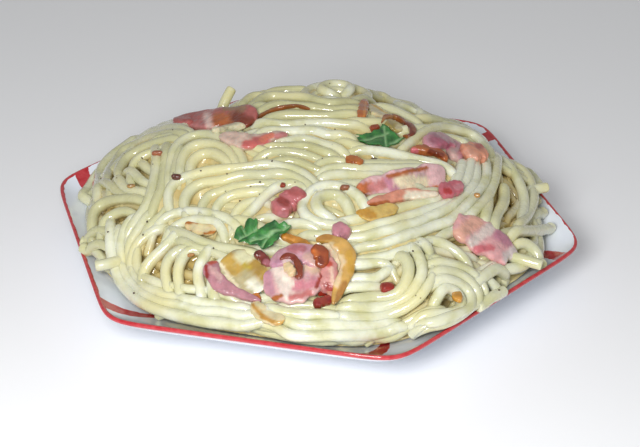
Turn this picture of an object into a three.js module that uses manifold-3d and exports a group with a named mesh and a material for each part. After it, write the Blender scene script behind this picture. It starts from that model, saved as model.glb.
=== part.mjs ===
// Spaghetti carbonara heaped on a small six-sided plate.
// Millimetres, +Z up. Origin: the middle of the foot ring, level with the table.

import * as THREE from 'three';
import Module from 'manifold-3d';

// --- driving dimensions -------------------------------------------------

// plate
const PLATE_APOTHEM = 76.8;      // centre to the middle of a side, at the lip
const PLATE_TURN = 16.3;         // degrees, the way the first side faces
const CORNER_SHARPNESS = 26;     // power of the rounded hexagon
const LIP_HEIGHT = 18;
const FOOT_OUTER = 49.5;
const FOOT_INNER = 45.5;
const FOOT_DEPTH = 1.6;          // recess of the base inside the foot ring
const WELL_HEIGHT = 5.4;         // top of the flat middle
const SEGMENTS = 60;             // facets round the plate and the heap

// heap of noodles
const STRAND = 3.6;              // thickness of one cooked strand
const HEAP_RADIUS = 76.4;
const HEAP_EDGE = 2.7;           // height of the heap's edge above the plate
const HEAP_HEIGHT = 46.5;        // top of the heap above the table
const BACK_RISE = 10;            // the far side is fuller than the near side
const DOME_SPREAD = 2.2;
const DOME_DROP = 0.9;
const LIP_MARGIN = 0.9;          // the heap stops short of the lip
const FURROW = 0.3;              // depth of the dip round a nest, as a share of its height
const HEAP_RINGS = 13;
const UNDERSIDE_SHARES = [1, 0.93, 0.84, 0.72, 0.58, 0.4, 0.2];  // rings under the heap, edge to middle
const EDGE_ROUNDING = 0.6;       // the heap's edge bulges this far below its rim

const GAP = 0.35;                // free space between pieces that touch

// where the heap's edge bulges (+) or draws in (-): direction, amount, half width
const EDGE_BUMPS = [
  { at: 197, amount: 1.6, spread: 12 },
  { at: 216, amount: -4.5, spread: 9 },
  { at: 250, amount: -4.2, spread: 18 },
  { at: 287, amount: -3.5, spread: 6 },
  { at: 304, amount: 4.5, spread: 13 },
  { at: 330, amount: 2.2, spread: 8 },
  { at: 10, amount: 2.0, spread: 10 },
  { at: 60, amount: -2.0, spread: 14 },
  { at: 100, amount: 1.0, spread: 14 },
  { at: 140, amount: -1.6, spread: 16 },
];

// turned nests of noodles that stand out of the dome: centre, radius, height
const NESTS = [
  { x: -54, y: 8, radius: 20, height: 2.6 },
  { x: -36, y: 2, radius: 13, height: 1.6 },
  { x: -20, y: -14, radius: 20, height: 1.8 },
  { x: 22, y: -58, radius: 17, height: 2.4 },
  { x: 43, y: -58, radius: 14, height: 3.0 },
  { x: -40, y: -48, radius: 16, height: 1.6 },
  { x: 6, y: -36, radius: 11, height: 1.2 },
  { x: 48, y: -8, radius: 16, height: 2.0 },
  { x: 62, y: -22, radius: 9, height: 1.6 },
  { x: 9, y: 36, radius: 11, height: 3.6 },
  { x: -22, y: 40, radius: 13, height: 1.8 },
  { x: 40, y: 34, radius: 14, height: 2.2 },
  { x: -48, y: 42, radius: 13, height: 2.0 },
  { x: 14, y: 62, radius: 13, height: 2.4 },
];

// strand ends that stick out of the heap: from, to
const LOOSE_ENDS = [
  { from: [-31, 37, 36], to: [-27.5, 44, 48.4] },
  { from: [68, 2, 23], to: [82.5, 6, 24.2] },
  { from: [-62, -31, 24], to: [-77.5, -34, 22.4] },
  { from: [60, -36, 22.5], to: [73.5, -41, 21.6] },
];

// toppings: place on the heap, direction in degrees, sizes, and how they lie.
// bend curls a piece in its own plane, arch bows it, roll tips it to one side.
const BACON = [
  { name: 'bacon_back_left', x: -31.5, y: 11.5, turn: -10, length: 28, width: 9.5, thick: 3.0,
    lift: 1.8, roll: 14, bend: 12, arch: 1.2, waves: 1.5 },
  { name: 'bacon_back_left_low', x: -18.9, y: -6.2, turn: -20, length: 22, width: 7.5, thick: 2.8,
    lift: 1.2, roll: 4, bend: -14, arch: 0.6, waves: 1 },
  { name: 'bacon_upper_right', x: 37.2, y: -1.6, turn: 34, length: 18, width: 8.6, thick: 3.2,
    lift: 1.4, roll: 6, bend: 16, arch: 1.2, waves: 0.5 },
  { name: 'bacon_upper_right_end', x: 52.6, y: 4.6, turn: 42, length: 10.5, width: 7.6, thick: 4.0,
    lift: 1.4, roll: 0, bend: 0, arch: 0.5, waves: 0 },
  { name: 'bacon_centre_strip', x: 27.6, y: -23.6, turn: 26, length: 30, width: 6.8, thick: 3.0,
    lift: 1.2, roll: 6, bend: -14, arch: 0.6, waves: 1 },
  { name: 'bacon_centre_low', x: 29, y: -31, turn: 23, length: 24, width: 3.8, thick: 2.4,
    lift: 0.7, roll: 0, bend: -8, arch: 0.3, waves: 1 },
  { name: 'bacon_centre_tip', x: 45, y: -21.5, turn: 38, length: 8, width: 5.4, thick: 3.2,
    lift: 1.1, roll: 0, bend: 0, arch: 0.3, waves: 0 },
  { name: 'bacon_right_large', x: 53.4, y: -38.6, turn: -20, length: 23, width: 13.5, thick: 3.6,
    lift: 1.6, roll: 0, bend: 10, arch: 1.6, waves: 0.5 },
  { name: 'bacon_centre_cube', x: -7.4, y: -35.6, turn: 54, length: 12, width: 6.6, thick: 5.0,
    lift: 1.6, roll: 0, bend: 8, arch: 0.4, waves: 0 },
  { name: 'bacon_front_fold', x: -6.2, y: -59.8, turn: -2, length: 15.6, width: 14.6, thick: 4.6,
    lift: 1.9, roll: 0, bend: 8, arch: 1.0, waves: 0.5 },
  { name: 'bacon_front_tail', x: -26, y: -58.4, turn: -43, length: 18, width: 3.6, thick: 2.6,
    lift: 0.8, roll: 0, bend: 12, arch: 0.6, waves: 1 },
  { name: 'bacon_front_right', x: 3.7, y: -62.4, turn: -94, length: 15, width: 4.2, thick: 4.2,
    lift: 1.6, roll: 0, bend: 6, arch: 0.4, waves: 0 },
  { name: 'bacon_small', x: 7, y: -45.4, turn: 32, length: 7, width: 4.8, thick: 3.6,
    lift: 1.2, roll: 0, bend: 0, arch: 0.2, waves: 0 },
];

const ONION = [
  { name: 'onion_front_left', x: -20.6, y: -54.8, turn: -41, length: 15, width: 7, thick: 2.2,
    lift: 1.1, roll: 0, bend: 20, arch: 1.4, waves: 0 },
  { name: 'onion_front_ring', x: 10.9, y: -58.6, turn: -88, length: 23, width: 3.8, thick: 2.6,
    lift: 1.3, roll: 0, bend: 104, arch: 0.4, waves: 0 },
  { name: 'onion_front_strip', x: -2.8, y: -50.4, turn: -36, length: 12.5, width: 2.8, thick: 2.0,
    lift: 1, roll: 0, bend: -16, arch: 0.4, waves: 0 },
  { name: 'onion_front_bottom', x: -15.8, y: -67.6, turn: -36, length: 11, width: 3, thick: 2.2,
    lift: 0.8, roll: 0, bend: 50, arch: 0.6, waves: 0 },
  { name: 'onion_sliver_left', x: -33.5, y: -39.2, turn: -26, length: 11, width: 4.4, thick: 1.8,
    lift: 0.6, roll: 0, bend: 14, arch: 0.4, waves: 0 },
  { name: 'onion_ring_back', x: 27.4, y: 5.6, turn: 8, length: 19, width: 2.8, thick: 3.4,
    lift: 1.2, roll: 0, bend: -170, arch: 0.2, waves: 0 },
  { name: 'onion_back_upright', x: 18.6, y: 14, turn: 10, length: 9.5, width: 7, thick: 2.2,
    lift: 2.6, roll: 58, bend: 0, arch: 1.2, waves: 0 },
  { name: 'onion_golden_centre', x: 21.2, y: -39, turn: 27, length: 12, width: 3.8, thick: 1.8,
    lift: 0.6, roll: 0, bend: -12, arch: 0.4, waves: 0 },
  { name: 'onion_brown_centre', x: 13, y: -14.9, turn: 15, length: 7.2, width: 3.4, thick: 1.8,
    lift: 0.5, roll: 0, bend: 10, arch: 0.2, waves: 0 },
  { name: 'onion_strip_back', x: -9.6, y: 13, turn: 20, length: 15, width: 2.6, thick: 2.2,
    lift: 0.8, roll: 0, bend: -34, arch: 0.3, waves: 0 },
];

const PARSLEY = [
  { name: 'parsley_front', x: -15.2, y: -45.2, turn: 8, length: 18, width: 8.6, thick: 1.2, lift: 1.2,
    lobes: 7, depth: 0.2 },
  { name: 'parsley_back', x: 21.2, y: -3.4, turn: 14, length: 15, width: 6.6, thick: 1.2, lift: 1.1,
    lobes: 5, depth: 0.18 },
];

// --- colours ------------------------------------------------------------

const LOOKS = {
  plate: { color: 0xf2f4f8, roughness: 0.2, metalness: 0 },
  noodle: { color: 0xe3dbab, roughness: 0.35, metalness: 0 },
  bacon: { color: 0xc4706c, roughness: 0.4, metalness: 0 },
  onion: { color: 0xc98d3c, roughness: 0.3, metalness: 0 },
  parsley: { color: 0x3f7a3c, roughness: 0.6, metalness: 0 },
};

// --- small helpers --------------------------------------------------------

const radians = (degrees) => degrees * Math.PI / 180;
const clamp = (value, low, high) => Math.min(high, Math.max(low, value));

function smoothStep(low, high, value) {
  const t = clamp((value - low) / (high - low), 0, 1);
  return t * t * (3 - 2 * t);
}

// difference of two directions in degrees, from -180 to 180
function turnBetween(a, b) {
  return ((a - b + 540) % 360) - 180;
}

// outline of a rounded hexagon: 1 at the middle of a side, more at a corner
function hexagon(theta) {
  let sum = 0;
  for (let side = 0; side < 6; side += 1) {
    const lean = Math.cos(theta - radians(PLATE_TURN + 60 * side));
    sum += Math.max(0, lean) ** CORNER_SHARPNESS;
  }
  return sum ** (-1 / CORNER_SHARPNESS);
}

// the plate is round at its foot and six-sided at its lip
const sidedness = (s) => smoothStep(FOOT_OUTER - 6, PLATE_APOTHEM - 5, s);
const plateRadius = (s, theta) => s * (1 + sidedness(s) * (hexagon(theta) - 1));

// --- plate ----------------------------------------------------------------

// half section of the upper face, from the middle out: distance, height
const PLATE_TOP = [
  [0, WELL_HEIGHT],
  [40, WELL_HEIGHT + 0.1],
  [50, WELL_HEIGHT + 0.9],
  [58, WELL_HEIGHT + 3.1],
  [66, WELL_HEIGHT + 6.9],
  [PLATE_APOTHEM - 1.6, LIP_HEIGHT - 0.6],
];

const PLATE_LIP = [
  [PLATE_APOTHEM - 0.8, LIP_HEIGHT],
  [PLATE_APOTHEM - 0.1, LIP_HEIGHT - 0.25],
  [PLATE_APOTHEM, LIP_HEIGHT - 0.9],
];

// half section of the underside, from the lip in
const PLATE_UNDER = [
  [PLATE_APOTHEM - 1.4, LIP_HEIGHT - 2.4],
  [68, WELL_HEIGHT + 4.2],
  [60, WELL_HEIGHT + 0.2],
  [FOOT_OUTER + 2, 2.4],
  [FOOT_OUTER, 0],
  [FOOT_INNER, 0],
  [FOOT_INNER - 1.2, FOOT_DEPTH],
  [0, FOOT_DEPTH],
];

// height of the plate's upper face at a distance measured along the section
function plateHeight(s) {
  for (let k = 1; k < PLATE_TOP.length; k += 1) {
    const [s0, z0] = PLATE_TOP[k - 1];
    const [s1, z1] = PLATE_TOP[k];
    if (s <= s1) return z0 + (z1 - z0) * (s - s0) / (s1 - s0);
  }
  return LIP_HEIGHT;
}

// height of the plate's upper face under a point
function plateTopAt(radius, theta) {
  let s = radius;
  for (let pass = 0; pass < 8; pass += 1) {
    s = radius / (1 + sidedness(s) * (hexagon(theta) - 1));
  }
  return plateHeight(s);
}

// A closed body from rings of points round the Z axis. The first and the last
// point are on the axis. rings(theta) gives [radius, height] pairs between them.
function ringSolid(first, rings, last, segments) {
  const positions = [0, 0, first];
  const count = rings(0).length;
  for (let i = 0; i < segments; i += 1) {
    const theta = 2 * Math.PI * i / segments;
    for (const [radius, height] of rings(theta)) {
      positions.push(radius * Math.cos(theta), radius * Math.sin(theta), height);
    }
  }
  positions.push(0, 0, last);
  const end = positions.length / 3 - 1;
  const at = (i, k) => 1 + (i % segments) * count + k;
  const index = [];
  for (let i = 0; i < segments; i += 1) {
    index.push(0, at(i, 0), at(i + 1, 0));
    for (let k = 0; k < count - 1; k += 1) {
      index.push(at(i, k), at(i, k + 1), at(i + 1, k + 1));
      index.push(at(i, k), at(i + 1, k + 1), at(i + 1, k));
    }
    index.push(at(i, count - 1), end, at(i + 1, count - 1));
  }
  return bodyOf(positions, index);
}

function bodyOf(positions, index) {
  const geometry = new THREE.BufferGeometry();
  geometry.setAttribute('position', new THREE.Float32BufferAttribute(positions, 3));
  geometry.setIndex(index);
  return geometry;
}

function makePlate() {
  const section = [...PLATE_TOP.slice(1), ...PLATE_LIP, ...PLATE_UNDER.slice(0, -1)];
  const rings = (theta) => section.map(([s, z]) => [plateRadius(s, theta), z]);
  return ringSolid(WELL_HEIGHT, rings, FOOT_DEPTH, SEGMENTS);
}

// --- heap of noodles --------------------------------------------------------

// distance from the middle to the heap's edge
function heapOutline(theta) {
  let radius = HEAP_RADIUS;
  for (const bump of EDGE_BUMPS) {
    const off = turnBetween(theta * 180 / Math.PI, bump.at) / bump.spread;
    radius += bump.amount * Math.exp(-off * off);
  }
  return Math.min(radius, (PLATE_APOTHEM - LIP_MARGIN) * hexagon(theta) - EDGE_ROUNDING);
}

// height of the heap's upper face
function heapTop(x, y) {
  const theta = Math.atan2(y, x);
  const outline = heapOutline(theta);
  const t = clamp(Math.hypot(x, y) / outline, 0, 1);
  const edge = plateTopAt(outline, theta) + HEAP_EDGE;
  const dome = (1 - t ** DOME_SPREAD) ** DOME_DROP;
  const crown = HEAP_HEIGHT - edge + BACK_RISE * t * (1 - t) * Math.sin(theta);
  let height = edge + crown * dome;
  const fade = smoothStep(1, 0.86, t);
  for (const nest of NESTS) {
    const off = Math.hypot(x - nest.x, y - nest.y) / nest.radius;
    const furrow = FURROW * Math.exp(-(((off - 1.15) / 0.3) ** 2));
    height += nest.height * fade * (Math.exp(-off * off) - furrow);
  }
  return height;
}

function makeHeap() {
  const rings = (theta) => {
    const outline = heapOutline(theta);
    const rows = [];
    for (let k = 1; k <= HEAP_RINGS; k += 1) {
      const radius = outline * (k / HEAP_RINGS) ** 0.85;
      const z = heapTop(radius * Math.cos(theta), radius * Math.sin(theta));
      rows.push([radius, z]);
    }
    rows.push([outline + EDGE_ROUNDING, plateTopAt(outline, theta) + HEAP_EDGE * 0.6]);
    for (const share of UNDERSIDE_SHARES) {
      rows.push([outline * share, plateTopAt(outline * share, theta) + GAP]);
    }
    return rows;
  };
  return ringSolid(heapTop(0, 0), rings, WELL_HEIGHT + GAP, SEGMENTS);
}

// one strand end: a six-sided rod with a rounded tip
function makeLooseEnd(row) {
  const start = new THREE.Vector3(...row.from);
  const way = new THREE.Vector3(...row.to).sub(start);
  const rod = new THREE.CapsuleGeometry(STRAND / 2, way.length() - STRAND, 2, 7);
  rod.translate(0, way.length() / 2, 0);
  rod.applyQuaternion(new THREE.Quaternion().setFromUnitVectors(
    new THREE.Vector3(0, 1, 0), way.clone().normalize()));
  rod.translate(start.x, start.y, start.z);
  return rod;
}

// --- toppings ---------------------------------------------------------------

// rounded section of a strip: across and up, both from -1 to 1
const SECTION = [[1, 0], [0.62, 1], [-0.62, 1], [-1, 0], [-0.62, -1], [0.62, -1]];
const STRIP_STEPS = 6;
const END_NARROWING = 0.45;      // share of the width lost at a strip's ends
const END_THINNING = 0.35;       // share of the thickness lost there
const END_POWER = 5;             // how late that starts

// A strip along X with a rounded section and drawn-in ends. grow makes it
// larger all round, for the pocket that it leaves in its neighbour.
function makeStrip(row, grow = 0) {
  const positions = [];
  const index = [];
  const sides = SECTION.length;
  const half = row.length / 2 + grow;
  const curl = radians(row.bend);
  for (let i = 0; i <= STRIP_STEPS; i += 1) {
    const u = 2 * i / STRIP_STEPS - 1;
    const across = (row.width / 2) * (1 - END_NARROWING * Math.abs(u) ** END_POWER) + grow;
    const up = (row.thick / 2) * (1 - END_THINNING * Math.abs(u) ** END_POWER) + grow;
    const along = u * half;
    const heading = curl * u / 2;
    const x0 = Math.abs(curl) < 0.01 ? along : Math.sin(heading) * half * 2 / curl;
    const y0 = Math.abs(curl) < 0.01 ? 0 : (Math.cos(heading) - 1) * half * 2 / curl;
    const z0 = -row.arch * u * u + 0.35 * row.arch * Math.sin(Math.PI * 2 * row.waves * u);
    for (const [a, b] of SECTION) {
      positions.push(x0 + Math.sin(heading) * a * across, y0 + Math.cos(heading) * a * across, z0 + b * up);
    }
  }
  for (let i = 0; i < STRIP_STEPS; i += 1) {
    for (let k = 0; k < sides; k += 1) {
      const a = i * sides + k;
      const b = i * sides + (k + 1) % sides;
      index.push(a, b + sides, a + sides, a, b, b + sides);
    }
  }
  const last = STRIP_STEPS * sides;
  for (let k = 1; k < sides - 1; k += 1) {
    index.push(0, k + 1, k);
    index.push(last, last + k, last + k + 1);
  }
  return bodyOf(positions, index);
}

const LEAF_POINTS = 26;
const LEAF_CUP = 0.5;            // the two ends of a leaf hang down this far

// a lobed leaf in the XY plane, cupped a little
function makeLeaf(row, grow = 0) {
  const positions = [0, 0, row.thick / 2 + grow, 0, 0, -row.thick / 2 - grow];
  const index = [];
  for (let i = 0; i < LEAF_POINTS; i += 1) {
    const theta = 2 * Math.PI * i / LEAF_POINTS;
    const size = 1 - row.depth + row.depth * Math.cos(row.lobes * theta);
    const x = (row.length / 2 * size + grow) * Math.cos(theta);
    const y = (row.width / 2 * size + grow) * Math.sin(theta);
    const cup = -LEAF_CUP * Math.abs(Math.cos(theta));
    positions.push(x, y, cup + row.thick / 3 + grow, x, y, cup - row.thick / 3 - grow);
  }
  for (let i = 0; i < LEAF_POINTS; i += 1) {
    const a = 2 + 2 * i;
    const b = 2 + 2 * ((i + 1) % LEAF_POINTS);
    index.push(0, a, b, 1, b + 1, a + 1);
    index.push(a, a + 1, b + 1, a, b + 1, b);
  }
  return bodyOf(positions, index);
}

// turns a piece to lie on the heap at its place
function layOnHeap(geometry, row) {
  const step = 3;
  const slopeX = (heapTop(row.x + step, row.y) - heapTop(row.x - step, row.y)) / (2 * step);
  const slopeY = (heapTop(row.x, row.y + step) - heapTop(row.x, row.y - step)) / (2 * step);
  const normal = new THREE.Vector3(-slopeX, -slopeY, 1).normalize();
  geometry.rotateX(radians(row.roll ?? 0));
  geometry.rotateZ(radians(row.turn));
  geometry.applyQuaternion(new THREE.Quaternion().setFromUnitVectors(new THREE.Vector3(0, 0, 1), normal));
  const seat = normal.multiplyScalar(row.lift);
  geometry.translate(row.x + seat.x, row.y + seat.y, heapTop(row.x, row.y) + seat.z);
  return geometry;
}

// --- joining and cutting ------------------------------------------------------

const wasm = await Module();
wasm.setup();

function toManifold(geometry) {
  const welded = new Map();
  const vertProperties = [];
  const renumber = [];
  const position = geometry.getAttribute('position');
  for (let i = 0; i < position.count; i += 1) {
    const point = [position.getX(i), position.getY(i), position.getZ(i)];
    const key = point.map((value) => value.toFixed(4)).join(',');
    if (!welded.has(key)) {
      welded.set(key, vertProperties.length / 3);
      vertProperties.push(...point);
    }
    renumber.push(welded.get(key));
  }
  const corners = geometry.index ? [...geometry.index.array] : renumber.map((_, i) => i);
  const triVerts = [];
  for (let i = 0; i < corners.length; i += 3) {
    const [a, b, c] = [0, 1, 2].map((k) => renumber[corners[i + k]]);
    if (a !== b && b !== c && c !== a) triVerts.push(a, b, c);
  }
  return new wasm.Manifold(new wasm.Mesh({
    numProp: 3,
    vertProperties: new Float32Array(vertProperties),
    triVerts: new Uint32Array(triVerts),
  }));
}

function fromManifold(solid) {
  const mesh = solid.getMesh();
  return bodyOf([...mesh.vertProperties], [...mesh.triVerts]);
}

// --- the whole dish -------------------------------------------------------------

const dish = new THREE.Group();

function addPiece(name, geometry, look) {
  const mesh = new THREE.Mesh(geometry, new THREE.MeshStandardMaterial(LOOKS[look]));
  mesh.name = name;
  dish.add(mesh);
}

const toppings = [
  ...BACON.map((row) => ({ row, look: 'bacon', make: makeStrip })),
  ...ONION.map((row) => ({ row, look: 'onion', make: makeStrip })),
  ...PARSLEY.map((row) => ({ row, look: 'parsley', make: makeLeaf })),
];

let heap = toManifold(makeHeap());
for (const end of LOOSE_ENDS) heap = heap.add(toManifold(makeLooseEnd(end)));

for (const { row, look, make } of toppings) {
  addPiece(row.name, layOnHeap(make(row), row), look);
  heap = heap.subtract(toManifold(layOnHeap(make(row, GAP), row)));
}

addPiece('plate', makePlate(), 'plate');
addPiece('spaghetti_heap', fromManifold(heap), 'noodle');

export default dish;
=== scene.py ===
# %% [markdown]
# # Spaghetti carbonara on a six-sided plate
# A helping of creamy spaghetti stands heaped on a small white plate, with bacon, fried onion and parsley
# on it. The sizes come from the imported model, which is loaded first and never changed. Everything here is
# worked out in millimetres, in the model's own frame, and turned to metres when a mesh is made.

import math

import bpy
import numpy as np
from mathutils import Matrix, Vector
from mathutils.bvhtree import BVHTree
from mathutils.geometry import delaunay_2d_cdt
from mathutils.kdtree import KDTree


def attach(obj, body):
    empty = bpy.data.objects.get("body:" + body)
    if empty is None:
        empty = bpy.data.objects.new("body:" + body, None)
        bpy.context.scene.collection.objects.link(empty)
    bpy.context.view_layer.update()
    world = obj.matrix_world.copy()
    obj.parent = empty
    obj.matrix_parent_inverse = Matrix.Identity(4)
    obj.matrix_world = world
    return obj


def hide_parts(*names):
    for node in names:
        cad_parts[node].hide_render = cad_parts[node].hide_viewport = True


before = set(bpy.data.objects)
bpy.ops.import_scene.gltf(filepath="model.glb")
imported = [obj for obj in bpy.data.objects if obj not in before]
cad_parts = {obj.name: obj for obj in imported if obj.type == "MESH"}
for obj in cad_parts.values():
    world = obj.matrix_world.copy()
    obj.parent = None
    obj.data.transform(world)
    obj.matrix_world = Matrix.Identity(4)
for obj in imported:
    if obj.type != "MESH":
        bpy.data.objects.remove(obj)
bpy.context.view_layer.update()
MM = 0.001
bpy.ops.object.select_all(action="DESELECT")
print("pieces in the model:", len(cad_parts))

# %% [markdown]
# ## The eye
# The heap is laid strand by strand as a cook's eye sees it from the table, so the camera comes first.
# Its place is kept as numbers too, because the strands are drawn in its view, 640 across and 447 down,
# and then laid where the sight line meets the heap.

# %% camera
VIEW_WIDE, VIEW_HIGH = 640, 447
EYE_DISTANCE = 580.0
EYE_RISE = math.radians(30)
AIM_HEIGHT = 18.0
AIM_ACROSS, AIM_DOWN = 312.0, 211.0
FOCAL_PIXELS = 1786.0
SENSOR = 36.0
RISE_COS, RISE_SIN = math.cos(EYE_RISE), math.sin(EYE_RISE)
MID_HEIGHT = 30.0     # a height inside the heap, where a search along a sight line starts

eye = bpy.data.cameras.new("eye")
eye.sensor_width = SENSOR
eye.lens = SENSOR * FOCAL_PIXELS / VIEW_WIDE
eye.shift_x = (VIEW_WIDE / 2 - AIM_ACROSS) / VIEW_WIDE
eye.shift_y = -(VIEW_HIGH / 2 - AIM_DOWN) / VIEW_WIDE
camera = bpy.data.objects.new("camera", eye)
camera.location = (0, -EYE_DISTANCE * RISE_COS * MM, (AIM_HEIGHT + EYE_DISTANCE * RISE_SIN) * MM)
camera.rotation_euler = (math.pi / 2 - EYE_RISE, 0, 0)
bpy.context.scene.collection.objects.link(camera)
bpy.context.scene.camera = camera
print("lens in mm:", round(eye.lens, 1))

# %% from the view to the table
def at_height(across, down, height):
    """Where the sight line through a point of the view is at a height, in millimetres."""
    up = (AIM_DOWN - down) / FOCAL_PIXELS
    side = (across - AIM_ACROSS) / FOCAL_PIXELS
    h = height - AIM_HEIGHT
    y = (up * EYE_DISTANCE - h * (RISE_COS + up * RISE_SIN)) / (RISE_SIN - up * RISE_COS)
    x = side * (EYE_DISTANCE + y * RISE_COS - h * RISE_SIN)
    return x, y


def to_view(points):
    """Where points in millimetres are seen in the view."""
    x, y, h = points[:, 0], points[:, 1], points[:, 2] - AIM_HEIGHT
    deep = EYE_DISTANCE + y * RISE_COS - h * RISE_SIN
    down = AIM_DOWN - FOCAL_PIXELS * (y * RISE_SIN + h * RISE_COS) / deep
    return AIM_ACROSS + FOCAL_PIXELS * x / deep, down


print("the sight line meets the table at:", np.round(at_height(AIM_ACROSS, AIM_DOWN, 0.0), 1).tolist())

# %% [markdown]
# ## Height maps of the model
# A strand that is dropped on a heap stops where it touches what lies under it. To find that place
# quickly, the heap is kept as a map: a square grid of heights. Rays cast down on the model's own
# solids fill the first maps: the plate, the heap, and the upper and lower side of the toppings.

# %% maps
CELL = 0.5
HALF_SPAN = 92.0
AXIS = np.arange(-HALF_SPAN, HALF_SPAN + CELL / 2, CELL)
NOTHING = -1.0


def tree_of(names):
    """One ray tree for several solids of the model."""
    points, faces = [], []
    for name in names:
        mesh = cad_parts[name].data
        first = len(points)
        points += [v.co.copy() for v in mesh.vertices]
        faces += [[first + i for i in p.vertices] for p in mesh.polygons]
    return BVHTree.FromPolygons(points, faces)


def cast_map(names, down=True):
    """Heights in mm where vertical rays meet the solids, from above or from below."""
    tree = tree_of(names)
    start = 0.1 if down else -0.01
    way = Vector((0, 0, -1 if down else 1))
    grid = np.full((len(AXIS), len(AXIS)), NOTHING)
    for row, y in enumerate(AXIS):
        for col, x in enumerate(AXIS):
            hit = tree.ray_cast(Vector((x * MM, y * MM, start)), way)[0]
            if hit is not None:
                grid[row, col] = hit.z / MM
    return grid


def blurred(grid, reach):
    """A map smoothed over a reach in mm."""
    steps = np.arange(-3 * reach, 3 * reach + CELL, CELL)
    weight = np.exp(-0.5 * (steps / reach) ** 2)
    weight /= weight.sum()
    pad = len(weight) // 2
    wide = np.pad(grid, pad, mode="edge")
    wide = np.apply_along_axis(lambda line: np.convolve(line, weight, "valid"), 0, wide)
    return np.apply_along_axis(lambda line: np.convolve(line, weight, "valid"), 1, wide)


TOPPINGS = sorted(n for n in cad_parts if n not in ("plate", "spaghetti_heap"))
plate_map = cast_map(["plate"])
heap_map = cast_map(["spaghetti_heap"])
topping_top = cast_map(TOPPINGS)
topping_low = cast_map(TOPPINGS, down=False)
print("map cells:", plate_map.size)

# %% [markdown]
# ## How a strand lies
# A cooked strand is limp and heavy: it follows what lies under it, but in long easy bends. So each one
# is dropped on the map. A ball as thick as the strand gives the lowest free height at every point
# of the route, and that line is eased until it is as stiff as pasta. Then the strand is pressed into the
# map, so that the next one lies on it. Nothing has to be simulated, and it comes out the same every time.

# %% routes
STRAND_RADIUS = 1.8
STEP = 1.0
BORDER = 8            # cells that stay free along the sides of a map


def evenly(points, step=STEP):
    """The same line with its points a step apart."""
    points = np.asarray(points, float)
    runs = np.linalg.norm(np.diff(points, axis=0), axis=1)
    along = np.concatenate([[0], np.cumsum(runs)])
    count = max(4, int(round(along[-1] / step)) + 1)
    marks = np.linspace(0, along[-1], count)
    return np.column_stack([np.interp(marks, along, column) for column in points.T])


def curved(points, steps=10):
    """A smooth curve through the points of a route."""
    p = np.asarray(points, float)
    p = np.vstack([2 * p[0] - p[1], p, 2 * p[-1] - p[-2]])
    t = np.linspace(0, 1, steps, endpoint=False)[:, None]
    parts = []
    for a, b, c, d in zip(p[:-3], p[1:-2], p[2:-1], p[3:]):
        parts.append(0.5 * (2 * b + (c - a) * t + (2 * a - 5 * b + 4 * c - d) * t ** 2
                            + (3 * b - a - 3 * c + d) * t ** 3))
    return np.vstack(parts + [p[-2:-1]])


def cell_of(values):
    """The rows or columns of the maps that places in mm fall in, kept off the border."""
    cells = np.rint((np.asarray(values) + HALF_SPAN) / CELL).astype(int)
    return np.clip(cells, BORDER, len(AXIS) - 1 - BORDER)


def height_at(grid, x, y):
    """What a map holds at places in mm."""
    return grid[cell_of(y), cell_of(x)]


# %% drop and press
def disc(radius):
    """Cells within a radius, with the height of a ball over each."""
    reach = int(radius / CELL)
    rows, cols = np.mgrid[-reach:reach + 1, -reach:reach + 1]
    far = np.hypot(rows, cols) * CELL
    keep = far <= radius
    return rows[keep], cols[keep], np.sqrt(radius ** 2 - far[keep] ** 2)


def spread(grid, reach, widen):
    """The highest (or lowest) value within a reach of each cell."""
    rows, cols, _ = disc(reach)
    out = grid.copy()
    pick = np.maximum if widen else np.minimum
    for r, c in zip(rows, cols):
        out = pick(out, np.roll(np.roll(grid, int(r), 0), int(c), 1))
    return out


EASE_REACH, EASE_HALF = 2.4, 6        # how far a point looks to its neighbours, in steps
EASE_PASSES = 26
GIVE = 0.3            # a strand may be pressed this far into what lies over it
ease = np.exp(-0.5 * (np.arange(-EASE_HALF, EASE_HALF + 1) / EASE_REACH) ** 2)
ease /= ease.sum()


def softened(line):
    """A row of numbers, each eased towards its neighbours."""
    return np.convolve(np.pad(line, EASE_HALF, mode="edge"), ease, "valid")


def dropped(x, y, radius, top):
    """Heights of a strand's centre line where it comes to rest, never above the top that is given."""
    rows, cols, lift = disc(radius)
    i = cell_of(y)[:, None] + rows
    j = cell_of(x)[:, None] + cols
    low = (ground[i, j] + lift).max(1)
    high = np.minimum((ceiling_map[i, j] - lift).min(1), height_at(top, x, y))
    z = np.minimum(low, high)
    for _ in range(EASE_PASSES):
        z = np.minimum(np.maximum(low, softened(z)), high)
    return np.minimum(0.5 * (z + softened(z)), high + GIVE)


def press(line, radius):
    """Marks a laid strand and its direction in the maps."""
    rows, cols, lift = disc(radius)
    fine = evenly(line, CELL)
    i = cell_of(fine[:, 1])[:, None] + rows
    j = cell_of(fine[:, 0])[:, None] + cols
    np.maximum.at(ground, (i, j), fine[:, 2:3] + lift)
    way = np.gradient(fine[:, :2], axis=0)
    double = 2 * np.arctan2(way[:, 1], way[:, 0])[:, None] + 0 * i
    flow[0][i, j] = np.cos(double)
    flow[1][i, j] = np.sin(double)


print("map cells under a strand's end:", len(disc(STRAND_RADIUS)[0]))

# %% [markdown]
# ## The ground for the first strands
# The inside of the heap is never seen, so no strands lie there. The first ones start from a ground a little
# over two strands under the model's surface. Towards the edge it sinks to the plate, so that the last
# strands lie on the plate itself. The sauce fills it later.

# %% core
CORE_DEPTH = 7.6
EDGE_RUN = 16.0
ROOF = 500.0          # a height that nothing reaches
TOPPING_SINK = 1.2    # the strands under a topping may rise this far into it
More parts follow.
